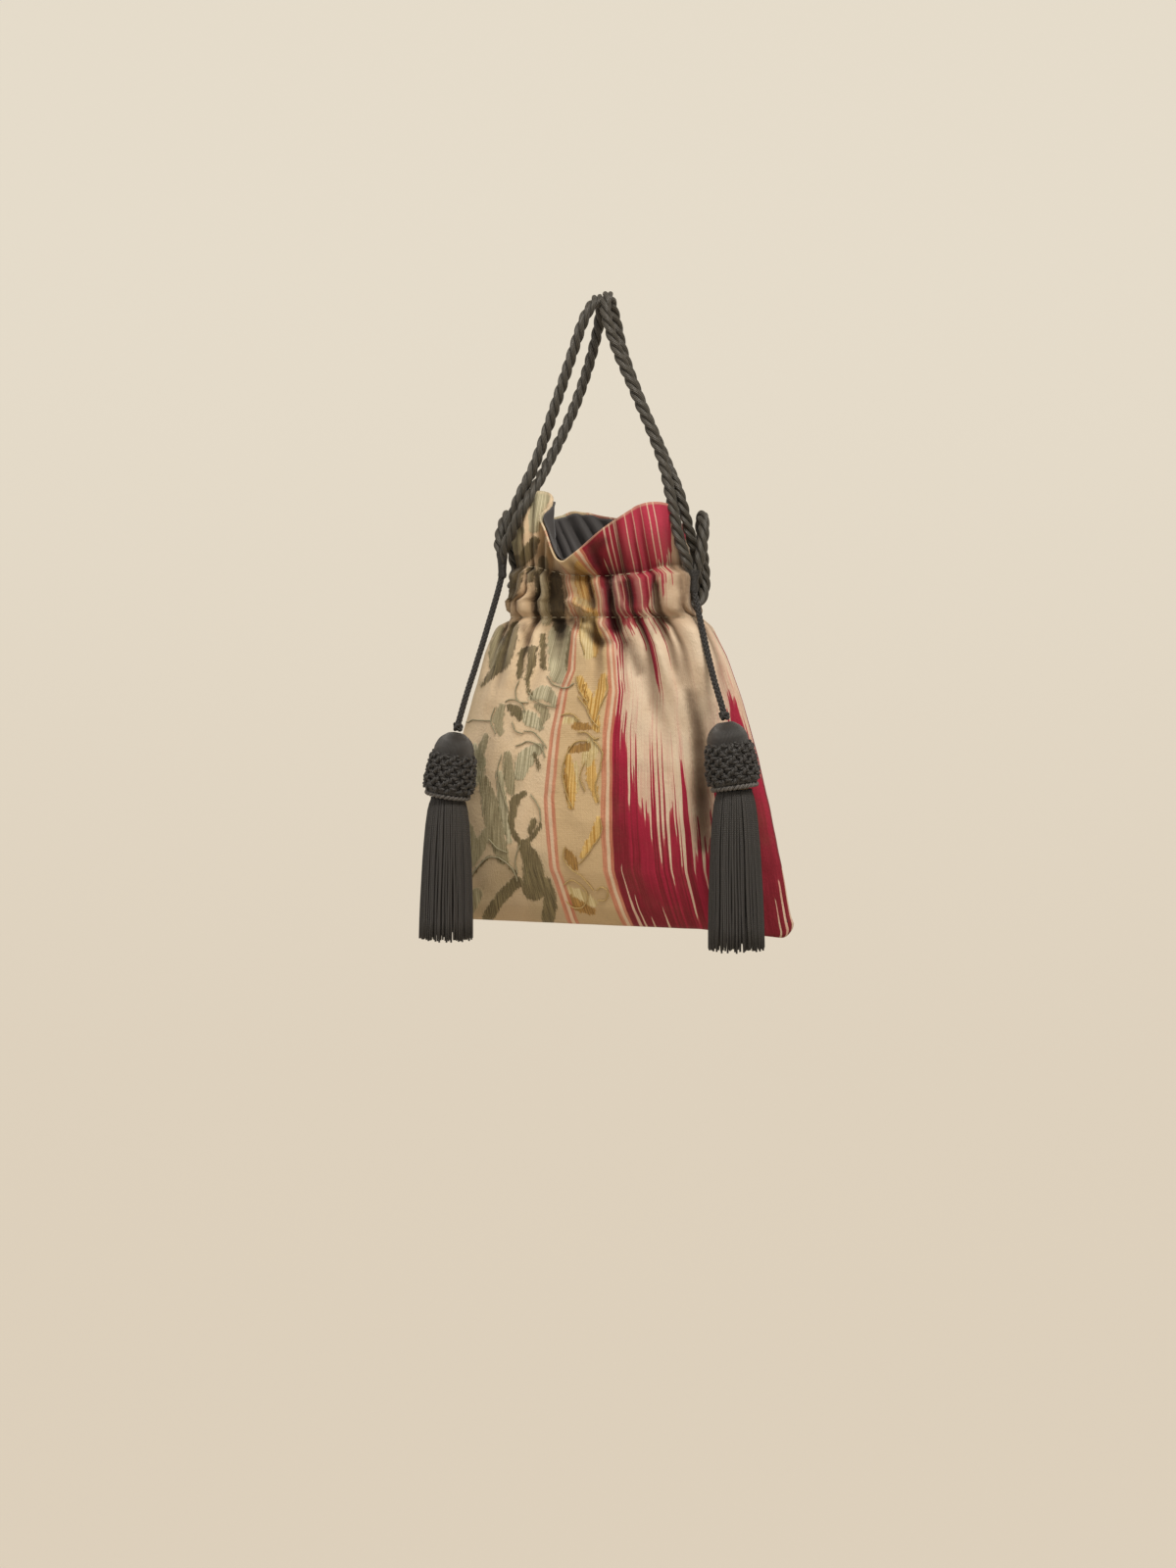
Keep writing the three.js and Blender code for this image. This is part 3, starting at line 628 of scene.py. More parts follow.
def make_neck_knot(side):
    """A trefoil of the doubled cord."""
    turn = np.linspace(0, 2 * math.pi, 90)
    knot = KNOT_SIZE * np.stack([
        np.sin(turn) + 2 * np.sin(2 * turn),
        np.cos(turn) - 2 * np.cos(2 * turn),
        -np.sin(3 * turn) * 2.1,
    ], axis=1)
    lines = placed(plies(knot, 2, 0.42, 3.4), head_place(side))
    piece = threads(f"{side}_cord_knot", lines, 0.58, 6, binding_silk)
    settle(piece, f"{side}_knot", f"{side}_neck_knot")
    return piece


def make_whipping(side):
    """Thread wound round the two rope ends, down to the ball from which the thin cord hangs."""
    rounds, steps = 17, 28
    heights = np.linspace(1.9, -9.4, rounds * steps)
    stops = [-9.8, -9.0, -BALL_DEPTH, -6.4, -3, -1, 1.5, 2]
    radius = np.interp(heights, stops, [0.5, 1.6, 2.0, 1.75, 1.9, 1.9, 1.9, 1.8])
    spread = np.interp(heights, stops, [0, 0, 0, 0, 0, 0.7, 1.6, 1.7])
    turn = np.linspace(0, rounds * 2 * math.pi, len(heights))
    wide = np.tanh(3.5 * np.cos(turn))
    line = np.stack([radius * np.cos(turn) + spread * wide, radius * np.sin(turn), heights], axis=1)
    centre = Matrix.Translation(Vector(WHIPPING_CENTRE[side]) * MM)
    place = centre @ Matrix.Rotation(OUTWARDS[side] * WHIPPING_TURN, 4, "Z")
    wound = threads(f"{side}_wound_thread", placed([line], place), 0.36, 6, whipping_silk)
    outline = [(0, 0.5), (1.7, 0), (1.8, -4), (1.6, -6.4), (1.9, -BALL_DEPTH), (0, -9.6)]
    core = spun(f"{side}_whipping_core", outline, whipping_silk, place, 24)
    settle(wound, "pouch", f"{side}_cord_whipping")
    settle(core, "pouch")


for side, points in (("left", LEFT_CORD_ROUTE), ("right", RIGHT_CORD_ROUTE)):
    thin_cord, cord_line = make_tassel_cord(side, points)
    settle(thin_cord, f"{side}_cord", f"{side}_tassel_cord")
    cord_knot = make_neck_knot(side)
    make_whipping(side)
    make_head_cover(side)
    make_collar(side)
    make_binding(side)
    make_skirt(side)

# Pouch cloth: its shape
# Level, half width, half depth and bluntness of the cloth, from the header's top down to the seam

LEVELS = [
    (-98, 46, 22, 0.95), (-115, 46, 21, 0.95), (-131, 48, 20, 0.9), (-134.5, 50.5, 23, 0.85),
    (-152.5, 50.5, 23, 0.85), (-156, 49, 20, 0.85), (-160.7, 55.0, 21.8, 0.9),
    (-174.6, 62.7, 24.8, 1.05), (-196.3, 70.8, 26.5, 1.2), (-225.8, 79.4, 25.7, 1.3),
    (-256.8, 86.8, 21.7, 1.35), (-283.1, 92.5, 15.1, 1.35), (-301.7, 96.2, 7.6, 1.3),
    (-308.5, 97.6, 3.0, 1.2), (-311, 97.0, 0.7, 1.2),
]
UPPER_STITCH = -131
LOWER_STITCH = -156
BODY_BOTTOM = -311
PANEL_WIDTH = 196
HEADER_CUT = 33
CASING_CUT = 25
BODY_CUT = 155
SECTION_POINTS = 361
SEAM_GAP = 0.15
COLUMNS = 240
BODY_ROWS = 112
CASING_ROWS = 22
HEADER_ROWS = 27
SIDE_FADE = 0.03
CRUMPLE_HEIGHT = 0.5
CRUMPLE_SIZE = 11

# Slots at the sides of the mouth, through which the ropes come out
SLOT_FLOOR = {-1: -147, 1: -155.3}
SLOT_RISE = 6
SLOT_HALF = 9.6

# The seam at the bottom: how it sags at the right, and how its corners are rounded
SAG, SAG_START, SAG_WIDTH, SAG_HEIGHT = 2.6, 50, 40, 70
CORNER_CURVE, CORNER_START, CORNER_HEIGHT = 0.16, 91.5, 14

# Where two threads of the flat cloth lie across the pouch: the borders of the scroll band
BAND_LEFT = 0.40
BAND_RIGHT = 0.54
BAND_PLACES = [
    (-98, -18, -6), (-115, -15, -2), (-131, -12, 3), (-145, -8, 6), (-159, -7, 6.4), (-169, -7.3, 10.9),
    (-182, -8, 12), (-192, -12.7, 12.9), (-212, -17.4, 10.3), (-245, -22.3, 8.5), (-281, -21.8, 6.9),
    (-301, -17.3, 10.7), (-311, -16, 13),
]

# Puckers at the neck, from the left: where each one starts and ends across the pouch, and its height
FRONT_PUCKERS = [
    (-49, -43.5, 1.6), (-43.5, -36.8, 4.2), (-36.8, -28.4, 5.0), (-28.4, -21.5, 4.0), (-21.5, -12, 0.2),
    (-12, 2, 4.4), (2, 10.8, 4.2), (10.8, 22.8, 4.6), (22.8, 31.3, 5.4), (31.3, 35.5, 2.2),
    (35.5, 47, 4.8), (47, 49, 1.2),
]
BACK_PUCKERS = [
    (-49, -41, 2.2), (-41, -33, 3.8), (-33, -22, 4.6), (-22, -15, 3.0), (-15, -3, 4.8), (-3, 5, 3.4),
    (5, 16, 4.6), (16, 22, 2.8), (22, 33, 4.8), (33, 41, 3.8), (41, 49, 2.2),
]
CREASE = -0.9
PUCKER_SHARES = [
    (-98, 0.1), (-112, 0.45), (-124, 0.8), (-131, 0.7), (-137, 1.0), (-150, 1.0), (-156, 0.75),
    (-163, 1.0), (-172, 0.85), (-190, 0.5), (-215, 0.25), (-250, 0.1), (-285, 0.03), (-311, 0),
]
PUCKER_BLUR = [(-98, 3), (-125, 1), (-156, 0.5), (-168, 1.2), (-190, 3.5), (-220, 8), (-311, 14)]

# Folds where they are seen, in pixels: line, heights in mm along it and half widths in pixels
FRONT_FOLDS = [
    ([(537, 600), (533, 630), (528, 660), (520, 700)], [2.2, 3.2, 2.4, 0.6], [8, 9, 10, 12]),
    ([(657, 588), (661, 625), (668, 655), (679, 685), (692, 715)], [2.2, 3.2, 3.2, 2.2, 0.6],
        [6, 6, 6, 7, 9]),
    ([(688, 612), (704, 645), (716, 680), (722, 712)], [2.0, 4.4, 4.6, 2.0], [11, 13, 13, 14]),
    ([(574, 615), (588, 613), (602, 623), (617, 637)], [2.5, 4.2, 4.8, 3.6], [5, 4.5, 5, 6]),
    ([(618, 603), (621, 622), (618, 642)], [2.2, 3.0, 1.6], [4, 4.5, 6]),
    ([(516, 590), (509, 635), (497, 690)], [1.2, 1.8, 0.8], [6, 8, 12]),
    ([(641, 583), (629, 596), (634, 613), (649, 634)], [2.6, 3.4, 3.4, 1.4], [5, 5, 5.5, 7]),
    ([(692, 566), (700, 588), (697, 614)], [3.5, 5.0, 3.0], [8, 10, 9]),
    ([(596, 640), (600, 680), (598, 730)], [2.2, 1.4, 0.4], [7, 10, 14]),
    ([(568, 582), (569, 608), (571, 636), (566, 668)], [-3, -5, -5, -1.5], [6, 7, 6, 8]),
    ([(669, 598), (672, 622), (678, 648)], [-2.6, -3.4, -1.4], [3.5, 3.5, 5]),
    ([(632, 640), (648, 668), (664, 705), (684, 750), (696, 800)], [-2.6, -3.4, -2.8, -1.8, -0.5],
        [9, 11, 12, 14, 18]),
    ([(712, 715), (714, 750), (716, 800), (720, 860)], [-2.0, -4.4, -4.6, -1.8], [11, 12, 13, 14]),
    ([(583, 632), (598, 645), (614, 656)], [-2.4, -3.4, -2], [4.5, 5, 6]),
    ([(527, 598), (523, 625), (516, 655), (505, 695)], [-2.4, -3.0, -2.2, -0.5], [3.5, 4.5, 6, 9]),
    ([(623, 582), (624, 606), (628, 640)], [-3.2, -3.4, -2], [3, 3.5, 6]),
    ([(547, 582), (547, 606), (551, 640)], [-1.6, -2.4, -1], [2.5, 3.5, 6]),
    ([(745, 660), (757, 710), (768, 770)], [1.0, 1.6, 0.6], [10, 12, 14]),
]
BACK_FOLDS = [
    ([(560, 610), (545, 660), (530, 740)], [3.0, 3.0, 0.4], [9, 12, 16]),
    ([(600, 605), (596, 650), (590, 720)], [-2.6, -3.2, -0.4], [7, 10, 14]),
    ([(630, 605), (640, 650), (655, 730)], [2.8, 3.0, 0.4], [8, 11, 16]),
    ([(665, 605), (690, 660), (712, 740)], [-2.4, -3.2, -0.4], [7, 10, 14]),
    ([(520, 610), (505, 650), (485, 720)], [-2.0, -2.4, -0.4], [6, 9, 14]),
    ([(590, 800), (600, 850), (610, 900)], [1.2, 1.4, 0.2], [22, 26, 24]),
]

# Free edge of the header: place along the flat cloth, the pixel where it is seen, and its depth
FRONT_EDGE = [
    (0.00, 520, 545, -9.8), (0.06, 527, 524, -11.5), (0.12, 537, 507, -13), (0.18, 549, 501, -13.5),
    (0.235, 561, 503, -12.5), (0.27, 565.5, 508, -12), (0.305, 559, 517, -16), (0.345, 550, 527, -22),
    (0.385, 556, 541, -26), (0.42, 562, 560, -30), (0.445, 567, 570.5, -33), (0.475, 574, 573.5, -35),
    (0.53, 586, 564, -36), (0.575, 599, 553.5, -35), (0.63, 614, 540, -33), (0.69, 627, 530.5, -31),
    (0.75, 638, 523.5, -29), (0.82, 652, 515, -26.5), (0.90, 668, 512, -23), (0.95, 683, 515, -18),
    (1.00, 696, 535, -9.8),
]
BACK_EDGE = [
    (0.00, 524, 545, 9.8), (0.10, 541, 531, 14), (0.22, 556, 529, 17), (0.34, 570, 527, 20),
    (0.42, 582, 522, 21), (0.52, 597, 523, 21.5), (0.62, 618, 527, 22.5), (0.74, 645, 530, 21),
    (0.86, 672, 528, 18), (0.95, 692, 530, 14), (1.00, 699, 540, 9.8),
]

# How far the upper stitches are drawn down at places across the front
FRONT_DRAWN_DOWN = [(-50, 0), (-30, 0), (-16, 4), (0, 5), (12, 4.5), (24, 3.5), (34, 0.5), (50, 0)]


def blended(table, value, column=1):
    rows = sorted(table)
    return np.interp(value, [row[0] for row in rows], [row[column] for row in rows])


def half_section(level, sign):
    """Fine points of one half of the section at a level, from the left side to the right."""
    width, depth, blunt = (blended(LEVELS, level, i) for i in (1, 2, 3))
    turn = np.linspace(0, math.pi, SECTION_POINTS)
    return np.stack([-width * np.cos(turn), sign * (SEAM_GAP + np.sin(turn) ** blunt * depth)], axis=1)


def slot_opening(level, side_sign):
    """Half the width of a side's slot at a level."""
    rise = np.clip((level - SLOT_FLOOR[side_sign]) / SLOT_RISE, 0, 1)
    return SLOT_HALF * math.sqrt(rise * (2 - rise))


def cloth_row(level, sign, shares):
    """The cloth's points at one level for places along the flat cloth, without its folds."""
    section = half_section(level, sign)
    along = distance_along(section)
    along /= along[-1]
    middle = len(section) // 2
    reach = np.abs(section[:middle, 1])
    start = np.interp(slot_opening(level, -1), reach, along[:middle])
    end = 1 - np.interp(slot_opening(level, 1), reach, along[:middle])
    band = [np.interp(blended(BAND_PLACES, level, i), section[:, 0], along) for i in (1, 2)]
    place = np.interp(shares, [0, BAND_LEFT, BAND_RIGHT, 1], [start, *band, end])
    return np.stack([np.interp(place, along, section[:, i]) for i in (0, 1)], axis=1)


def pucker_height(puckers, sign, shares):
    """Height of the puckers along the flat cloth: rounded lobes with sharp creases between them."""
    neck = cloth_row(LOWER_STITCH, sign, shares)[:, 0]
    height = np.full(len(shares), float(CREASE))
    for start, end, top in puckers:
        share = np.clip((neck - start) / (end - start), 0, 1)
        height += (top - CREASE) * np.sin(math.pi * share) ** 0.75
    return height


def blurred(values, width):
    reach = int(3 * width) + 1
    kernel = np.exp(-0.5 * (np.arange(-reach, reach + 1) / width) ** 2)
    return np.convolve(np.pad(values, reach, mode="edge"), kernel / kernel.sum(), mode="valid")


def blurred_rows(rows, width):
    return np.array([blurred(row, width) for row in rows])


def fold_height(folds, places):
    """How far the folds lift the cloth at the pixels where its points are seen."""
    total = np.zeros(places.shape[:-1])
    for line, heights, widths in folds:
        path = even_steps(np.array([(x, y, 0) for x, y in line], float), 4)[:, :2]
        along = np.linspace(0, 1, len(path))
        stops = np.linspace(0, 1, len(heights))
        best = np.zeros(places.shape[:-1])
        tops, wide = (np.interp(along, stops, values) for values in (heights, widths))
        for point, top, width in zip(path, tops, wide):
            lift = top * np.exp(-((places - point) ** 2).sum(axis=-1) / width ** 2)
            best = np.where(np.abs(lift) > np.abs(best), lift, best)
        total += best
    return total


def outwards(points, sign):
    along = np.gradient(points, axis=0)
    normal = np.stack([along[:, 1], -along[:, 0]], axis=1) * (1 if sign < 0 else -1)
    return normal / np.maximum(np.linalg.norm(normal, axis=1), 1e-9)[:, None]


def hem_drop(x, height):
    """How the seam at the bottom sags towards the right and rounds off at its corners."""
    rightwards = np.clip((x - SAG_START) / SAG_WIDTH, 0, 1)
    past = np.clip(np.abs(x) - CORNER_START, 0, None)
    corner = CORNER_CURVE * past ** 2 * np.clip(1 - height / CORNER_HEIGHT, 0, 1)
    return corner - SAG * rightwards * np.clip(1 - height / SAG_HEIGHT, 0, 1)


def cloth_grid(sign):
    """All points of a velvet panel and their height along the flat cloth, from the seam up."""
    puckers, folds, edge_table = (
        (FRONT_PUCKERS, FRONT_FOLDS, FRONT_EDGE) if sign < 0 else (BACK_PUCKERS, BACK_FOLDS, BACK_EDGE))
    shares = np.linspace(0, 1, COLUMNS + 1)
    wave = pucker_height(puckers, sign, shares)
    rows, heights, lifts = [], [], []
    body = BODY_BOTTOM + BODY_CUT * np.linspace(0, 1, BODY_ROWS) ** 0.97
    casing = np.linspace(LOWER_STITCH, UPPER_STITCH, CASING_ROWS)[1:]
    fade = np.clip(np.minimum(shares, 1 - shares) / SIDE_FADE, 0, 1)
    for level in np.concatenate([body, casing]):
        flat = cloth_row(level, sign, shares)
        height = level - BODY_BOTTOM
        drawn = blended(FRONT_DRAWN_DOWN, flat[:, 0]) if sign < 0 else np.zeros(len(shares))
        drop = drawn * np.clip((level - LOWER_STITCH) / CASING_CUT, 0, 1)
        place = np.column_stack([flat, level - drop + hem_drop(flat[:, 0], height)])
        lift = blended(PUCKER_SHARES, level) * blurred(wave, blended(PUCKER_BLUR, level))
        lift += fold_height(folds, seen_pixels(place * [1, -sign, 1]))
        if level > LOWER_STITCH - 1:
            lift = np.maximum(lift, CREASE)
        place[:, :2] += outwards(flat, sign) * (lift * fade)[:, None]
        place[:, 1] = sign * np.maximum(np.abs(place[:, 1]), 0.3)
        rows.append(place)
        heights.append(height)
        lifts.append(lift)
    stitch = rows[-1]
    seen = [point_seen(x, y, depth) for _, x, y, depth in edge_table]
    route = smooth_route(seen, 0.5)
    place = np.interp(shares, [row[0] for row in edge_table], share_of_points(route, seen))
    along = np.linspace(0, 1, len(route))
    edge = np.stack([np.interp(place, along, route[:, i]) for i in range(3)], axis=1)
    normal = outwards(cloth_row(UPPER_STITCH, sign, shares), sign)
    ripple = 0.62 * blurred(wave, 2.0)
    for q in np.linspace(0, 1, HEADER_ROWS)[1:]:
        points = stitch * (1 - q) + edge * q
        swell = 4 * q * (1 - q)
        points[:, :2] += normal * ((swell * (0.4 + 0.75 * ripple) + 0.3 * ripple * q) * fade)[:, None]
        rows.append(points)
        heights.append(BODY_CUT + CASING_CUT + HEADER_CUT * q)
        lifts.append((0.3 + 0.5 * swell) * ripple)
    return np.array(rows), np.array(heights), shares, np.array(lifts)


def creases_and_crests(lifts):
    """How deep each point lies between its neighbours, and how far it stands out."""
    around = blurred_rows(blurred_rows(lifts, 7).T, 3).T
    # masks for the painted shade in the creases and the painted highlight on the crests
    deep = blurred_rows(around - lifts, 0.8)
    return {"crevice": np.clip(deep / 1.7, 0, 1), "crest": np.clip(-deep / 2.2, 0, 1)}


def share_of_points(route, points):
    """How far along a route the given points lie, as shares."""
    found = [int(np.argmin(np.linalg.norm(route - np.array(point), axis=1))) for point in points]
    return np.array(found) / (len(route) - 1)


def crumple(grid):
    """Adds small soft unevenness across the cloth."""
    flat = grid.reshape(-1, 3)
    for point in flat:
        place = Vector(point / CRUMPLE_SIZE)
        point[1] += CRUMPLE_HEIGHT * noise.noise(place)
        point[0] += 0.5 * CRUMPLE_HEIGHT * noise.noise(place + Vector((7, 3, 5)))
    return flat.reshape(grid.shape)


def sheet_mesh(name, grid, heights, shares, sign, material, extra=None):
    """A cloth mesh from rows of points, with its flat coordinates as u and v in metres."""
    rows, columns = grid.shape[:2]
    index = np.arange(rows * columns).reshape(rows, columns)
    corners = [index[:-1, :-1], index[:-1, 1:], index[1:, 1:], index[1:, :-1]]
    quads = np.stack(corners, axis=-1).reshape(-1, 4)
    if sign > 0:
        quads = quads[:, ::-1]
    mesh = bpy.data.meshes.new(name)
    mesh.from_pydata(grid.reshape(-1, 3) * MM, [], quads.tolist())
    u = np.broadcast_to((shares - 0.5) * PANEL_WIDTH * MM, (rows, columns)).ravel()
    v = np.broadcast_to((heights * MM)[:, None], (rows, columns)).ravel()
    flat = np.stack([u, v], axis=1)[quads.ravel()]
    mesh.uv_layers.new(name="cloth").data.foreach_set("uv", flat.astype(np.float32).ravel())
    for key, values in (extra or {}).items():
        point_values(mesh, key, values)
    return piece_of(name, mesh, material)


# Pouch cloth: its pattern
# Simple shapes placed on the front as it is seen, in the photograph's pixels

def stroke(places, points, widths):
    """Signed distance in pixels to a brush stroke of changing width; inside is above 0."""
    best = np.full(places.shape[:-1], -1e3)
    path = smooth_route([(x, y, 0) for x, y in points], 3)[:, :2]
    wide = np.interp(np.linspace(0, 1, len(path)), np.linspace(0, 1, len(widths)), widths)
    for (a, wa), (b, wb) in zip(zip(path, wide), zip(path[1:], wide[1:])):
        step = b - a
        share = np.clip(((places - a) @ step) / max(step @ step, 1e-9), 0, 1)
        distance = np.linalg.norm(places - (a + share[..., None] * step), axis=-1)
        best = np.maximum(best, (wa + (wb - wa) * share) - distance)
    return best


PATTERN = {
    # dark olive foliage of cut velvet
    "olive": [
        ([(526, 637), (519, 658), (511, 678), (500, 690), (491, 700)], [4, 7, 8, 4, 1.5]),
        ([(533, 666), (531, 678), (530, 690)], [3.3, 3.6, 3]),
        ([(544, 662), (542, 679), (538.7, 691), (538.7, 702), (542, 709)], [4, 4.5, 3.5, 2, 2]),
        ([(533, 666), (539, 662), (545, 664)], [3, 3, 3]),
        ([(554, 649), (554, 681)], [3.2, 3.2]),
        ([(584, 645), (581, 670), (580, 696)], [3.2, 3.6, 2]),
        ([(519, 721), (527, 726), (531, 733)], [3, 6, 3]),
        ([(545, 770), (550, 784)], [2.4, 2]),
        ([(536, 809), (527, 815), (523, 830), (522, 843), (527, 855), (534, 861), (543, 854), (552, 841)],
            [2.5, 5, 4.5, 3, 3, 3, 3, 2]),
        ([(545, 838), (541, 848)], [3.6, 3.6]),
        ([(534, 862), (543, 880), (545, 907)], [6, 10, 12]),
        ([(528, 900), (514, 913), (503, 928), (498, 936)], [6, 6, 6, 6]),
        ([(557, 901), (561, 915), (560, 937)], [6, 7, 7]),
        ([(567, 588), (568, 610), (571, 640)], [6, 8, 6]),
        ([(526, 574), (525, 592), (521, 608)], [8, 8, 5]),
        ([(542, 582), (541, 591)], [5, 4]),
        ([(546, 552), (538, 566), (530, 576)], [5, 7, 5]),
        ([(547, 584), (549, 602), (548, 626)], [2.5, 3, 3]),
        ([(479, 896), (493, 880), (502, 874), (515, 880), (525, 890), (528, 900)],
            [1, 1.4, 1.4, 1.4, 1.4, 2]),
        ([(447, 862), (455, 886), (452, 918)], [4, 6, 4]),
    ],
    # middle tones of the foliage
    "leaf": [
        ([(512, 722), (508, 735), (511, 748)], [4, 6, 3]),
        ([(510, 642), (506, 660), (503, 680)], [5, 7, 4]),
        ([(518, 770), (519, 790), (522, 808)], [4, 6, 4]),
        ([(493, 795), (500, 820), (506, 850), (514, 876)], [5, 9, 9, 6]),
        ([(478, 884), (490, 862), (500, 846)], [5, 7, 5]),
        ([(476, 842), (482, 862), (480, 880)], [5, 6, 5]),
        ([(554, 572), (555, 600), (557, 632)], [5, 7, 6]),
        ([(530, 540), (526, 556), (534, 566)], [5, 7, 6]),
        ([(450, 800), (448, 830), (456, 850)], [7, 9, 6]),
        ([(486, 912), (478, 926), (470, 936)], [6, 8, 6]),
        ([(548, 720), (556, 728), (552, 738)], [3, 5, 3]),
        ([(496, 752), (490, 770), (492, 786)], [3, 5, 3]),
    ],
    # pale ribbed patches
    "pale": [
        ([(573, 650), (572, 668), (571, 688)], [14, 13, 10]),
        ([(543, 711), (555, 707), (566, 716)], [4, 8, 5]),
        ([(530, 728), (542, 734), (551, 742)], [3, 8, 4]),
        ([(549, 764), (538, 772), (530, 790)], [6, 9, 6]),
        ([(484, 762), (490, 778), (484, 798)], [4, 6, 5]),
        ([(510, 790), (514, 830), (520, 858)], [4, 5, 3]),
        ([(553, 508), (548, 520), (545, 538)], [8, 7, 6]),
        ([(462, 862), (468, 890), (462, 912)], [4, 6, 5]),
        ([(536, 876), (538, 892), (536, 904)], [2, 3, 2]),
    ],
    # greyish zones round the foliage: partly the cloth's own tone, partly painted shade at the left margin,
    # the bottom left and the casing
    "grey_zone_and_shade": [
        ([(500, 650), (486, 690), (478, 740)], [6, 9, 8]),
        ([(478, 780), (486, 830), (492, 880)], [16, 20, 18]),
        ([(520, 880), (500, 910), (470, 930)], [14, 16, 14]),
        ([(548, 880), (552, 930)], [12, 12]),
        ([(522, 560), (516, 600), (514, 640)], [10, 10, 8]),
        ([(556, 560), (556, 610), (560, 640)], [10, 12, 10]),
        ([(520, 780), (524, 800)], [10, 8]),
    ],
    # golden scroll of leaves in the tan band
    "gold": [
        ([(591, 692), (597, 706), (604, 722)], [3, 6, 4]),
        ([(616, 690), (613, 706), (609, 722)], [3.5, 5.5, 4]),
        ([(605, 722), (609, 744)], [5, 4]),
        ([(580, 772), (582, 800), (583, 823)], [3, 7, 3.5]),
        ([(603, 770), (604, 795), (609, 818)], [4, 5.5, 2]),
        ([(611, 836), (608, 850), (601, 862), (594, 874)], [3, 5, 4.5, 3]),
        ([(609, 632), (609, 650), (607, 668)], [4, 5, 3]),
        ([(592, 578), (595, 596), (598, 612)], [6, 8, 6]),
        ([(578, 622), (588, 614), (602, 623), (616, 640)], [4, 5, 5, 5]),
    ],
    "ochre": [
        ([(588, 741), (599, 742)], [4.4, 4]),
        ([(583, 765), (599, 762)], [4, 4.5]),
        ([(578, 868), (583, 877), (588, 886)], [3, 6, 3]),
        ([(595, 700), (600, 714)], [1.6, 1.6]),
        ([(577, 790), (579, 815)], [2, 2]),
        ([(577, 915), (590, 924), (604, 930)], [4, 6, 4]),
        ([(600, 590), (604, 606)], [3, 3]),
    ],
    "straw": [
        ([(601, 632), (599, 650), (600, 668)], [7, 7, 5]),
        ([(574, 735), (588, 735)], [3.4, 3.4]),
        ([(604, 757), (602, 768), (598, 778)], [6, 8, 5]),
        ([(576, 908), (590, 914), (606, 922)], [5, 7, 4]),
        ([(590, 612), (602, 618)], [3, 3]),
        ([(588, 778), (590, 806)], [1.6, 1.6]),
    ],
    # painted shade in deep creases and valleys
    "painted_shade": [
        ([(568, 584), (568, 610), (572, 646)], [7, 8, 6]),
        ([(622, 580), (624, 606), (626, 640)], [2, 3, 4]),
        ([(702, 706), (712, 750), (716, 800), (718, 862)], [3, 8, 9, 7]),
        ([(610, 573), (606, 561), (616, 552)], [6, 7, 5]),
        ([(530, 580), (528, 604), (523, 628), (514, 655)], [3, 3, 3.5, 4]),
        ([(514, 580), (510, 600), (512, 624)], [5, 5, 4]),
        ([(545, 575), (545, 600), (547, 636)], [2.5, 2.5, 3]),
        ([(590, 640), (592, 600), (584, 575)], [1.5, 1.5, 1.5]),
        ([(698, 566), (702, 590), (696, 622)], [3, 4, 4]),
        ([(540, 655), (534, 640)], [2, 4]),
        ([(641, 655), (652, 684)], [4, 5]),
        ([(546, 556), (553, 575), (562, 588)], [4, 5, 5]),
        ([(600, 642), (608, 652), (622, 654)], [3, 4, 4]),
        ([(665, 600), (668, 642)], [1.2, 1.6]),
        ([(588, 628), (596, 634)], [3, 3]),
    ],
}

# The dyed field, in pixels. Below the first line its threads are crimson, and so they are above the second
# line. Streaks: where the end of each is seen, and its half width
DYED_BELOW = [
    (618, 690), (622, 700), (628, 722), (633, 727), (638, 745), (643, 775), (648, 800), (653, 815),
    (660, 822), (670, 824), (680, 822), (690, 812), (698, 806), (703, 830), (708, 850), (714, 862),
    (720, 866), (738, 790), (742, 745), (746, 700), (752, 680), (758, 690), (764, 715), (770, 735),
    (776, 760), (785, 790), (790, 800),
]
RISING_STREAKS = [
    (631, 683, 1.5), (636, 690, 1.2), (643, 681, 1.8), (657, 712, 1.2), (662, 745, 1.2),
    (670, 722, 1.5), (676, 770, 1.2), (685, 751, 1), (690, 775, 1.2), (695, 770, 1.5), (699, 800, 1.5),
    (710, 833, 1.2), (649, 742, 1), (666, 780, 1), (736, 650, 2.6), (742, 700, 1), (747, 672, 1),
    (753, 660, 1.6), (764, 690, 1.2),
]
FALLING_STREAKS = [
    (642, 814, 1.3), (653.5, 822, 1.3), (664.5, 855, 1.2), (674, 874, 1.2), (677, 855, 1.2),
    (687, 896, 1.3), (689.5, 847, 1.2), (694.6, 877, 1.2), (701, 888, 1), (710, 930, 1.5),
    (711.5, 864, 1.5), (715, 914, 1.2), (721, 900, 1), (646, 796, 1), (658, 836, 1), (634, 760, 1.1),
]
HEM_LINES = [
    (634, 880, 0.9), (629, 902, 0.9), (648, 913, 0.9), (645, 921, 0.8), (664, 935, 0.8),
    (676, 925, 0.9), (795, 897, 1), (800, 885, 1), (804, 883, 1), (791, 915, 0.8),
]
DYED_ABOVE = [
    (617, 572), (620, 640), (630, 652), (640, 648), (652, 640), (656, 634), (666, 628), (669, 580),
    (677, 578), (682, 572), (685, 556), (690, 530), (694, 505),
]
NECK_STREAKS = [
    (661, 628, 5), (664, 655, 4), (666, 670, 3.2), (669, 688, 2.6), (672, 708, 1.8), (676, 732, 0.9),
    (673, 690, 0.8), (684, 676, 0.7), (677, 592, 2.4), (628, 664, 1), (641, 668, 1.2), (636, 690, 1),
]
CREAM_LINES = [
    (629, 550, 0.8), (650, 552, 0.7), (659, 550, 0.6), (667, 552, 1.0), (673, 550, 1.0),
    (630, 604, 0.6), (637, 606, 0.7), (644, 606, 0.7), (655, 612, 0.9), (618, 548, 0.7),
]

# The back's cloth is cut a little further along the same pattern
BACK_SHIFT = (6.0, -14.0)


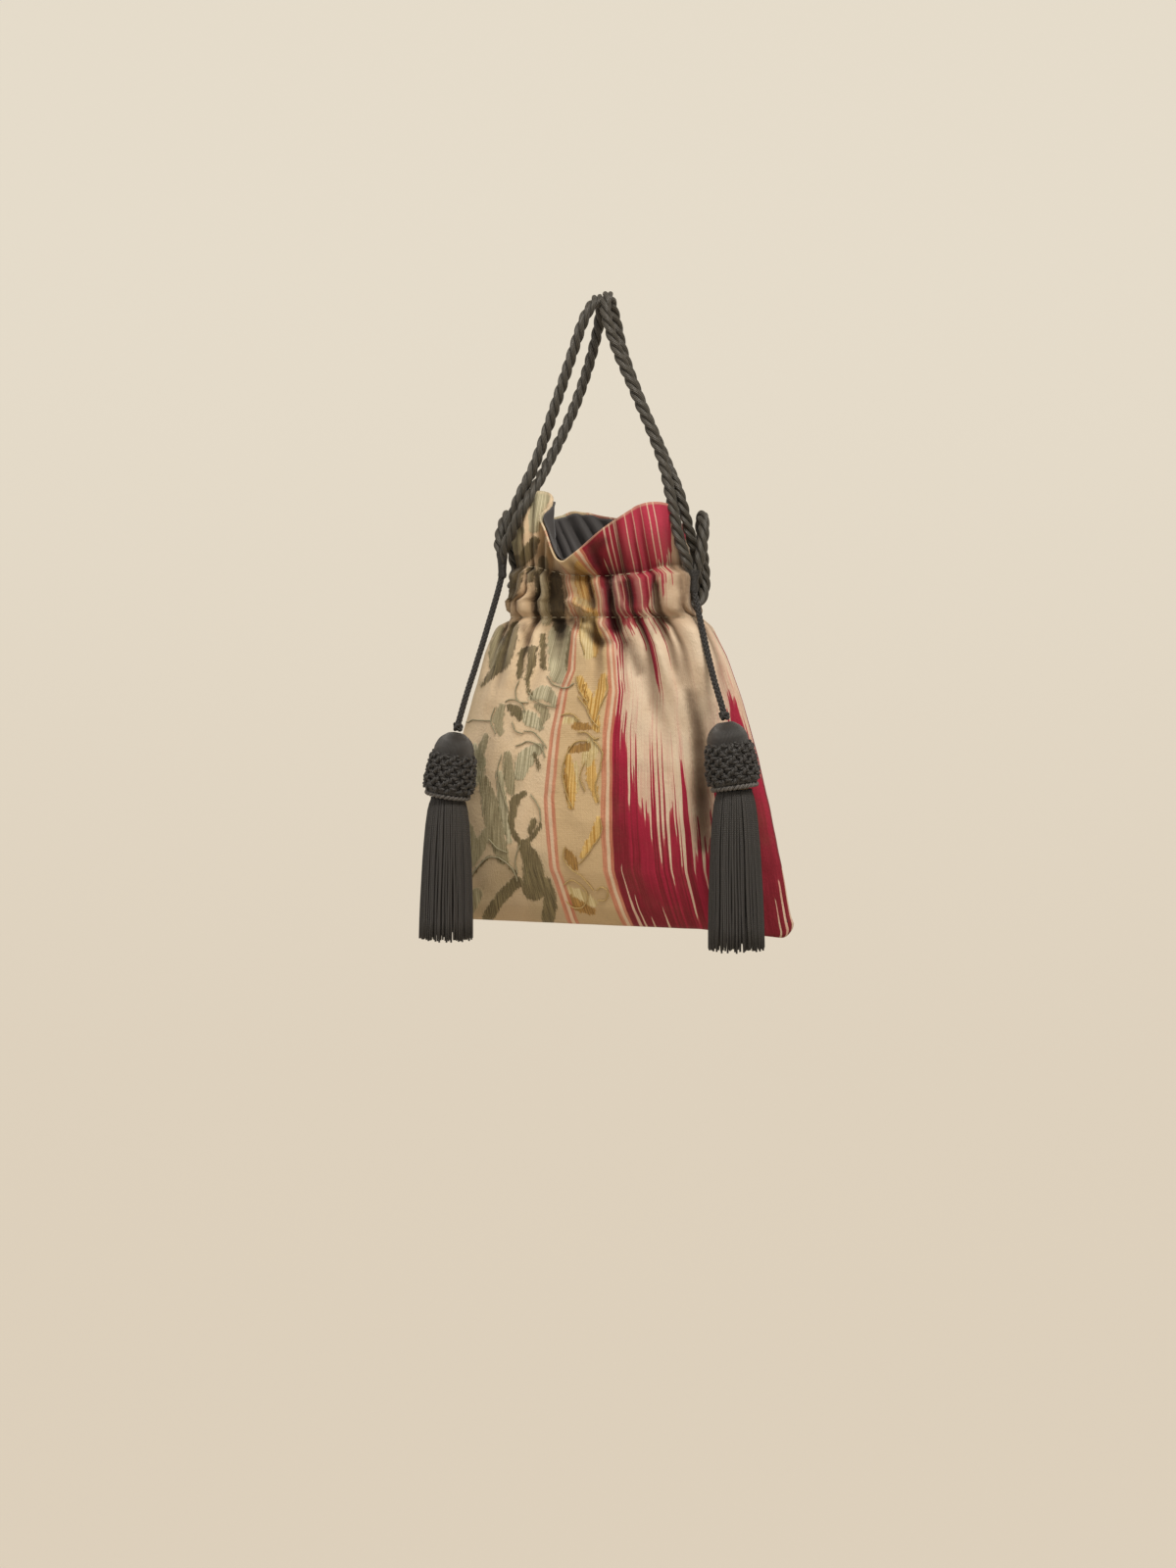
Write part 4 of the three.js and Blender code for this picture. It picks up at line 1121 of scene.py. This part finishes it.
def pattern_fields(grid, sign):
    """Signed distances, in pixels, of the pattern's shapes at every point of a panel."""
    front = grid * [1, -sign, 1]
    places = seen_pixels(front) + (BACK_SHIFT if sign > 0 else (0, 0))
    return {
        name: np.max([stroke(places, points, widths) for points, widths in shapes], axis=0)
        for name, shapes in PATTERN.items()
    }


class FrontCloth:
    """Finds the places of the front panel at which its pixels are seen."""

    def __init__(self, grid, heights, shares):
        self.points = grid.reshape(-1, 3)
        rows, columns = grid.shape[:2]
        self.across = np.tile((shares - 0.5) * PANEL_WIDTH, rows)
        self.heights = np.repeat(heights, columns)
        seen = seen_pixels(self.points)
        self.tree = kdtree.KDTree(len(seen))
        for i, (x, y) in enumerate(seen):
            self.tree.insert((x, y, 0), i)
        self.tree.balance()

    def cut_place(self, x, y):
        """Place on the flat cloth, in mm: across it, and up from its lower seam."""
        index = self.tree.find((x, y, 0))[1]
        return self.across[index], self.heights[index]

    def line_on(self, points, lift):
        """A line through pixels, laid on the cloth."""
        towards = np.array(camera_axes()[1]) * lift
        line = []
        for x, y in smooth_route([(x, y, 0) for x, y in points], 2)[:, :2]:
            found = self.tree.find_n((x, y, 0), 4)
            weights = np.array([1 / (gap + 0.1) for _, _, gap in found])
            near = self.points[[index for _, index, _ in found]]
            line.append((near * weights[:, None]).sum(axis=0) / weights.sum() + towards)
        return smooth_route(line[::2] + [line[-1]], 0.8)


# The dyed field on the flat cloth
BAND_START = (BAND_LEFT - 0.5) * PANEL_WIDTH
FIELD_START = (BAND_RIGHT - 0.5) * PANEL_WIDTH
FIELD_END = 0.5 * PANEL_WIDTH
LEVEL_RANGE = 220
FIELD_PLACES = np.linspace(FIELD_START, FIELD_END, 256)
PIXEL_ON_CLOTH = 0.49
THINNEST_STREAK = 0.3


def field_levels(cloth, outline, *streak_rows):
    """For each thread across the field, the level at which it changes colour."""
    levels = np.zeros(len(FIELD_PLACES))
    if outline:
        corners = sorted(cloth.cut_place(x, y) for x, y in outline)
        levels = np.interp(FIELD_PLACES, *zip(*corners))
    for streaks, take in streak_rows:
        for x, y, half in streaks:
            middle, level = cloth.cut_place(x, y)
            inside = np.abs(FIELD_PLACES - middle) < max(half * PIXEL_ON_CLOTH, THINNEST_STREAK)
            levels[inside] = take(levels[inside], level)
    return levels / LEVEL_RANGE


def cream_line_shares(cloth):
    shares = np.zeros(len(FIELD_PLACES))
    for x, y, half in CREAM_LINES:
        gap = np.abs(FIELD_PLACES - cloth.cut_place(x, y)[0])
        shares = np.maximum(shares, np.clip(1.4 - gap / (half * PIXEL_ON_CLOTH), 0, 1))
    return shares


def field_curve(shading, place, values):
    """A node that gives the values, in even steps, along the field."""
    made = shading.node("ShaderNodeFloatCurve", {"Value": place})
    points = made.mapping.curves[0].points
    points[0].location = (0, float(values[0]))
    points[1].location = (1, float(values[-1]))
    for i in range(1, len(values) - 1):
        points.new(i / (len(values) - 1), float(values[i]))
    for point in points:
        point.handle_type = "VECTOR"
    made.mapping.update()
    return made.outputs[0]


# Finishes of the pattern: how strongly each covers, the streaks that vary it and at which of their
# values, and its dark and light colours
FOLIAGE = {
    "pale": (0.9, "coarse", (0.42, 0.6), (148, 142, 110), (214, 206, 172)),
    "leaf": (0.85, "fine", (0.38, 0.62), (112, 104, 72), (182, 172, 136)),
    "olive": (0.93, "fine", (0.36, 0.66), (78, 68, 42), (138, 124, 86)),
}
SCROLL = {
    "gold": (0.95, "coarse", (0.38, 0.62), (192, 140, 54), (236, 200, 126)),
    "straw": (0.9, "coarse", (0.38, 0.62), (196, 170, 112), (230, 212, 162)),
    "ochre": (0.9, "fine", (0.38, 0.62), (130, 92, 36), (184, 138, 66)),
}
RIBS_PER_METRE = 1050
DYED_THREADS_PER_METRE = 1100


def make_brocade(cloth_front):
    """Velvet brocade: foliage on beige, a scroll band between two borders, and a dyed field."""
    material, shading, surface = new_material("velvet brocade")
    ramp, mix, times, most, minus = shading.ramp, shading.mix, shading.times, shading.most, shading.minus
    cloth = shading.node("ShaderNodeUVMap", uv_map="cloth").outputs[0]
    across, upward = shading.node("ShaderNodeSeparateXYZ", {0: cloth}).outputs[:2]
    uneven = shading.noise(cloth, 60.0, 4.0)
    fray = shading.scaled(shading.grain(cloth, (1500.0, 260.0, 1.0), 2.0), 6.0, -3.0)
    soft = shading.scaled(shading.noise(cloth, 420.0), 5.0, -2.5)
    edge = shading.plus(fray, soft)
    streaks = {
        "coarse": shading.grain(cloth, (1300.0, 14.0, 1.0)),
        "fine": shading.grain(cloth, (2600.0, 60.0, 1.0), 2.0),
    }
    ribs = ramp(shading.maths("SINE", times(upward, 2 * math.pi * RIBS_PER_METRE)), -0.4, 1.0)
    # painted shade: the cloth is darker towards the seam at the bottom
    seam_shade = ramp(upward, 0.06, 0.0)

    def shape(name, ease=0.9):
        return ramp(shading.plus(shading.attribute(name), edge), -ease, ease)

    def laid(share, strength, under, over):
        return mix(times(share, strength), under, linear(*over))

    def toned(value, reach, first, second):
        return mix(ramp(value, *reach), linear(*first), linear(*second))

    def patterned(ground, finishes):
        for name, (strength, kind, reach, dark, light) in finishes.items():
            ground = mix(times(shape(name), strength), ground, toned(streaks[kind], reach, dark, light))
        return ground

    def shaded(share, strength, under, tint):
        return mix(times(share, strength), under, tint, blend="MULTIPLY")

    # left ground and foliage
    beige = toned(uneven, (0.3, 0.75), (240, 214, 178), (226, 198, 160))
    beige = laid(seam_shade, 0.6, beige, (160, 134, 96))
    beige = laid(ribs, 0.14, beige, (226, 206, 174))
    # greyish zones: the cloth's own tone, and painted shade at the left margin and the casing
    left = patterned(laid(shape("grey_zone_and_shade", 7.0), 0.3, beige, (158, 144, 108)), FOLIAGE)

    # band with the golden scroll
    tan = laid(ribs, 0.3, linear(212, 182, 138), (232, 206, 166))
    band = patterned(laid(seam_shade, 0.45, tan, (170, 142, 98)), SCROLL)

    # dyed field: each thread changes colour at its own height
    place = ramp(across, FIELD_START * MM, FIELD_END * MM, smooth=False)
    thread = shading.maths("FLOOR", times(across, DYED_THREADS_PER_METRE))
    chance = shading.node("ShaderNodeTexWhiteNoise", {"W": thread}, noise_dimensions="1D").outputs["Value"]
    own = shading.scaled(shading.maths("POWER", chance, 3.0), 0.022, -0.004)

    def level(outline, *streak_rows):
        values = field_levels(cloth_front, outline, *streak_rows)
        return times(field_curve(shading, place, values), LEVEL_RANGE * MM)

    rise = level(DYED_BELOW, (RISING_STREAKS, np.maximum), (FALLING_STREAKS, lambda old, end: end))
    below = minus(shading.plus(rise, own), upward)
    above = minus(upward, minus(level(DYED_ABOVE, (NECK_STREAKS, np.minimum)), own))
    hem = minus(level([], (HEM_LINES, np.maximum)), upward)
    cream_lines = field_curve(shading, place, cream_line_shares(cloth_front))
    bare = most(ramp(hem, -0.0005, 0.001), times(cream_lines, ramp(upward, 0.150, 0.158)))
    dyed = most(ramp(below, -0.0008, 0.0008), ramp(above, -0.0008, 0.0008))
    dyed = times(dyed, shading.scaled(bare, -0.9, 1.0))
    cream = toned(uneven, (0.3, 0.8), (236, 214, 186), (210, 184, 154))
    cream = laid(ramp(streaks["coarse"], 0.5, 0.75), 0.25, cream, (214, 150, 136))
    flushed = times(ramp(streaks["fine"], 0.44, 0.6), ramp(below, -0.05, -0.002))
    cream = laid(flushed, 0.55, cream, (206, 116, 112))
    crimson = toned(most(below, above), (0.0, 0.005), (186, 92, 92), (166, 28, 58))
    crimson = laid(ramp(below, 0.012, 0.062), 0.85, crimson, (116, 22, 32))
    crimson = mix(times(ramp(upward, 0.150, 0.172), 0.8), crimson,
        toned(across, (0.040, 0.055), (140, 24, 40), (196, 60, 84)))
    crimson = laid(ramp(streaks["fine"], 0.45, 0.75), 0.3, crimson, (192, 60, 80))

    # the three side by side, and coral and cream lines between them
    wavering = shading.plus(across, shading.scaled(uneven, 0.0012, -0.0006))

    def line(centre, half, ease=0.00025):
        gap = shading.maths("ABSOLUTE", minus(wavering, centre))
        return ramp(gap, half + ease, half - ease)

    borders = [BAND_START * MM, FIELD_START * MM]
    in_band, in_field = (ramp(across, border - 0.0002, border + 0.0002) for border in borders)
    colour = mix(in_field, mix(in_band, left, band), mix(dyed, cream, crimson))
    coral = toned(streaks["fine"], (0.4, 0.6), (190, 110, 82), (214, 142, 112))
    for border in borders:
        colour = mix(times(line(border, 0.0029), 0.85), colour, coral)
        colour = laid(line(border + 0.0003, 0.0009), 1.0, colour, (226, 196, 164))

    # painted shade on the neck, the free edge of the mouth, painted highlight on the crests, painted shade
    # in deep creases, and dust
    # painted shade over the neck: the casing and the lower header are darkened
    neck = times(ramp(upward, 0.144, 0.156), ramp(upward, 0.206, 0.184))
    colour = shaded(neck, 0.6, colour, (0.52, 0.42, 0.32, 1))
    colour = laid(ramp(upward, 0.2112, 0.2122), 0.4, colour, (206, 184, 150))
    # painted highlight on the crests of the folds
    colour = laid(ramp(shading.attribute("crest"), 0.2, 1.0), 0.16, colour, (236, 218, 190))
    # painted shade in the creases of the folds
    colour = shaded(shading.attribute("crevice"), 0.85, colour, (0.22, 0.17, 0.13, 1))
    # painted shade over the shapes of the deep creases and valleys
    colour = shaded(shape("painted_shade", 5.0), 0.68, colour, (0.24, 0.19, 0.15, 1))
    colour = laid(ramp(uneven, 0.55, 0.25), 0.16, colour, (112, 88, 58))
    shading.put(surface.inputs["Base Color"], colour)

    pile = most(shape("olive"), times(in_field, dyed))
    shading.put(surface.inputs["Roughness"], shading.scaled(pile, 0.2, 0.58))
    surface.inputs["Sheen Weight"].default_value = 0.12
    surface.inputs["Sheen Roughness"].default_value = 0.45
    surface.inputs["Specular IOR Level"].default_value = 0.3
    weave = place_group(shading, weave_group, {"Cloth": cloth}).outputs["Height"]
    raised = most(shape("olive", 2.0), shape("leaf", 2.0))
    raised = most(raised, most(shape("gold", 2.0), shape("pale", 2.0)))
    relief = times(raised, 0.55)
    for height, strength in ((streaks["fine"], 0.45), (weave, 0.12), (shading.noise(cloth, 700.0), 0.6)):
        relief = shading.plus(relief, times(height, strength))
    shading.put(surface.inputs["Normal"], shading.bump(relief, 0.7, 0.0008))
    return material


def make_lining_cloth():
    material, shading, surface = new_material("lining cloth")
    cloth = shading.node("ShaderNodeUVMap", uv_map="cloth").outputs[0]
    given = {"Cloth": cloth, "Threads across": 2600.0, "Threads up": 2600.0}
    weave = place_group(shading, weave_group, given).outputs["Height"]
    cloudy = shading.noise(cloth, 70.0)
    colour = shading.mix(cloudy, (0.038, 0.033, 0.032, 1), (0.070, 0.061, 0.057, 1))
    shading.put(surface.inputs["Base Color"], colour)
    shading.put(surface.inputs["Roughness"], shading.scaled(cloudy, 0.2, 0.55))
    surface.inputs["Sheen Weight"].default_value = 0.2
    shading.put(surface.inputs["Normal"], shading.bump(weave, 0.3, 0.0002))
    return material


SIDES = (("front", -1), ("back", 1))
panels = {}
for side, sign in SIDES:
    grid, heights, shares, lifts = cloth_grid(sign)
    panels[side] = (crumple(grid), heights, shares, creases_and_crests(lifts))
front_cloth = FrontCloth(*panels["front"][:3])
brocade = make_brocade(front_cloth)
lining_cloth = make_lining_cloth()
gold_gimp = silk_thread("gold gimp", linear(178, 136, 66), linear(226, 196, 130), 3.0, 900.0, 0.5)
leaf_gimp = silk_thread("leaf gimp", linear(128, 118, 84), linear(196, 186, 150), 3.0, 900.0, 0.55)
stitching = silk_thread("stitching thread", linear(186, 164, 128), linear(222, 206, 174), 3.0, 1100.0, 0.55)


VELVET_WALL = 0.9
LINING_WALL = 0.4
LINING_GAP = 1.6
SEAM_ALLOWANCE = 4

# Share of the pouch's half width and half depth that the ropes take up inside the channel
ROPE_ROOM = (14.5 / 50.5, 9 / 23)


def finish_sheet(piece, wall, node):
    """Gives a sheet its wall, inwards, joins it to the pouch and hides the CAD panel it takes the place of.
    """
    solid = piece.modifiers.new("wall", "SOLIDIFY")
    solid.thickness = wall * MM
    solid.offset = -1
    settle(piece, "pouch", node)


def make_velvet(side, sign):
    grid, heights, shares, depths = panels[side]
    fields = {**pattern_fields(grid, sign), **depths}
    piece = sheet_mesh(f"velvet_{side}", grid, heights, shares, sign, brocade, fields)
    finish_sheet(piece, VELVET_WALL, f"outer_{side}_panel")


def make_lining(side, sign):
    """The velvet's shape moved inwards, bridging its creases and leaving room for the ropes."""
    grid, heights, shares = panels[side][0][:-1], panels[side][1][:-1], panels[side][2]
    bridged = np.stack([blurred_rows(grid[..., i], 3.0) for i in range(3)], axis=-1)
    normal = -sign * np.cross(np.gradient(bridged, axis=1), np.gradient(bridged, axis=0))
    normal /= np.maximum(np.linalg.norm(normal, axis=2), 1e-9)[..., None]
    sunk = np.minimum(((bridged - grid) * normal).sum(axis=2), 0)
    inner = grid + normal * (sunk - LINING_GAP)[..., None]
    inner[..., 0] *= np.interp(heights, [0, 30], [0.975, 1])[:, None]
    for i, level in enumerate(BODY_BOTTOM + heights):
        if LOWER_STITCH < level < UPPER_STITCH:
            deep = min(1, (level - LOWER_STITCH) / 3, (UPPER_STITCH - level) / 3)
            room = cloth_row(level, sign, shares) * (1 - np.array(ROPE_ROOM))
            inner[i, :, :2] = inner[i, :, :2] * (1 - deep) + room * deep
    inner[..., 1] = sign * np.maximum(np.abs(inner[..., 1]), 0.25)
    keep = heights > SEAM_ALLOWANCE
    kept = (inner[keep][:, ::2], heights[keep], shares[::2])
    piece = sheet_mesh(f"lining_{side}", *kept, sign, lining_cloth)
    finish_sheet(piece, LINING_WALL, f"lining_{side}_panel")


GOLD_THREADS = [
    [(589, 710), (597, 720), (603, 733), (611, 743)], [(588, 690), (591, 704), (600, 718)],
    [(618, 689), (620, 703), (612, 722), (608, 736)], [(589, 747), (599, 748), (607, 754), (612, 752)],
    [(605, 755), (614, 766), (613, 782), (608, 800), (611, 820)],
    [(600, 756), (588, 757), (578, 770), (574, 790), (579, 812), (585, 826)],
    [(597, 776), (592, 792), (597, 808)], [(612, 833), (614, 848), (606, 862), (596, 876), (589, 882)],
    [(576, 864), (575, 876), (584, 888), (593, 894), (606, 909)],
    [(609, 919), (618, 918), (620, 910), (614, 905), (608, 909)],
    [(575, 903), (583, 898), (593, 904), (600, 914), (595, 925), (585, 926), (577, 919)],
    [(572, 730), (582, 728), (592, 736)], [(594, 630), (592, 648), (597, 668)],
]
LEAF_THREADS = [
    [(522, 736), (527, 746), (534, 749)], [(534, 746), (544, 747), (552, 755), (558, 764)],
    [(539, 706), (545, 714), (557, 720), (568, 722)], [(474, 737), (488, 735), (502, 735)],
    [(479, 896), (493, 879), (502, 874), (515, 879), (525, 890), (528, 900)],
    [(512, 770), (508, 786), (512, 806), (519, 828)], [(541, 810), (549, 822), (552, 838)],
    [(530, 694), (526, 706), (530, 716), (540, 717)], [(526, 762), (538, 757), (552, 762), (556, 774)],
    [(515, 716), (522, 714), (532, 718), (536, 727)], [(505, 722), (501, 735), (506, 749)],
    [(531, 862), (526, 876), (528, 892)], [(498, 856), (508, 866), (518, 870)],
    [(558, 690), (566, 699), (578, 702), (586, 697)],
]


GIMP_LIFT = 0.55
GIMP_RADIUS = 0.34


def make_gimps():
    """Raised outlines of the scroll and of the foliage, couched on the front."""
    for name, routes, material in (("gold_outline", GOLD_THREADS, gold_gimp),
            ("leaf_outline", LEAF_THREADS, leaf_gimp)):
        lines = [front_cloth.line_on(route, GIMP_LIFT) for route in routes]
        piece = threads(name, lines, GIMP_RADIUS, 6, material, taper=0.3)
        settle(piece, "pouch")


STITCH = 3.0
STITCH_GAP = 1.9
STITCH_RADIUS = 0.26
STITCH_ARCH = np.array([-0.45, 0.15, 0.32, 0.15, -0.45])


def make_running_stitches(side, sign):
    """Two rows of running stitches that close the channel."""
    grid, heights = panels[side][:2]
    lines = []
    for level in (LOWER_STITCH, UPPER_STITCH):
        row = grid[int(np.argmin(np.abs(heights - (level - BODY_BOTTOM))))]
        out = np.column_stack([outwards(row[:, :2], sign), np.zeros(len(row))])
        along = distance_along(row)
        for begin in np.arange(8, along[-1] - 10, STITCH + STITCH_GAP):
            stops = np.linspace(begin, begin + STITCH, len(STITCH_ARCH))
            points, away = (np.stack([np.interp(stops, along, given[:, i]) for i in range(3)], axis=1)
                for given in (row, out))
            lines.append(points + away * STITCH_ARCH[:, None])
    piece = threads(f"{side}_stitches", lines, STITCH_RADIUS, 6, stitching)
    settle(piece, "pouch")


for side, sign in SIDES:
    make_velvet(side, sign)
    make_lining(side, sign)
    make_running_stitches(side, sign)
make_gimps()

# Wooden moulds, hidden in the heads

def make_wood():
    material, shading, surface = new_material("mould wood")
    place = shading.node("ShaderNodeTexCoord").outputs["Object"]
    grain = shading.grain(place, (900.0, 900.0, 60.0), 4.0)
    colour = shading.mix(grain, linear(176, 140, 92), linear(210, 178, 130))
    shading.put(surface.inputs["Base Color"], colour)
    shading.put(surface.inputs["Roughness"], shading.scaled(grain, 0.2, 0.55))
    return material


wood = make_wood()
for side in ("left", "right"):
    mould_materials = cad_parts[f"{side}_head_mould"].data.materials
    mould_materials.clear()
    mould_materials.append(wood)

# Floor, backdrop and light

BACKDROP_GLOW = 0.82


def make_backdrop():
    """A pale floor that curves up to a wall far behind the pouch."""
    shape = bmesh.new()
    outline = [(-3.0, -1.35), (1.2, -1.35), (1.9, -1.22), (2.35, -0.85), (2.5, -0.3), (2.5, 2.6)]
    points = [shape.verts.new((-3.5, y, z)) for y, z in outline]
    edges = [shape.edges.new(pair) for pair in zip(points, points[1:])]
    moved = bmesh.ops.extrude_edge_only(shape, edges=edges)["geom"]
    bmesh.ops.translate(shape, verts=[v for v in moved if isinstance(v, bmesh.types.BMVert)], vec=(7, 0, 0))
    bmesh.ops.rotate(shape, verts=shape.verts, cent=(0, 0, 0), matrix=Matrix.Rotation(AZIMUTH, 3, "Z"))
    mesh = bpy.data.meshes.new("backdrop")
    shape.to_mesh(mesh)
    shape.free()
    material, shading, surface = new_material("backdrop paper")
    place = shading.node("ShaderNodeTexCoord").outputs["Object"]
    height = shading.node("ShaderNodeSeparateXYZ", {0: place}).outputs[2]
    # painted light: the backdrop paper grows lighter towards the top
    warm = shading.mix(shading.ramp(height, -1.3, 0.6), linear(227, 214, 194), linear(236, 227, 210))
    shading.put(surface.inputs["Base Color"], warm)
    surface.inputs["Roughness"].default_value = 0.9
    shading.put(surface.inputs["Emission Color"], warm)
    glow = shading.node("ShaderNodeEmission", {"Color": warm, "Strength": 1.0})
    seen = shading.node("ShaderNodeLightPath").outputs["Is Camera Ray"]
    both = shading.node("ShaderNodeMixShader")
    shading.put(both.inputs[0], shading.times(seen, BACKDROP_GLOW))
    shading.put(both.inputs[1], surface.outputs[0])
    shading.put(both.inputs[2], glow.outputs[0])
    shading.put(material.node_tree.nodes["Material Output"].inputs[0], both.outputs[0])
    backdrop = piece_of("backdrop", mesh, material)


def area_light(name, location, size, power, colour):
    data = bpy.data.lights.new(name, "AREA")
    data.shape = "DISK"
    data.size = size
    data.energy = power
    data.color = colour
    light = bpy.data.objects.new(name, data)
    light.location = location
    aim = Vector((0, 0, -0.2)) - Vector(location)
    light.rotation_mode = "QUATERNION"
    light.rotation_quaternion = aim.to_track_quat("-Z", "Y")
    bpy.context.scene.collection.objects.link(light)


def make_light():
    world = bpy.data.worlds.new("studio")
    world.use_nodes = True
    ground = world.node_tree.nodes["Background"]
    ground.inputs[0].default_value = (1.0, 0.95, 0.88, 1)
    ground.inputs[1].default_value = 0.46
    bpy.context.scene.world = world
    area_light("key light", (0.8, -1.0, 1.45), 0.8, 34, (1.0, 0.96, 0.9))
    area_light("fill light", (-1.3, -1.1, 0.35), 1.2, 5, (1.0, 0.97, 0.93))


make_backdrop()
make_light()
bpy.context.scene.view_settings.view_transform = "Standard"
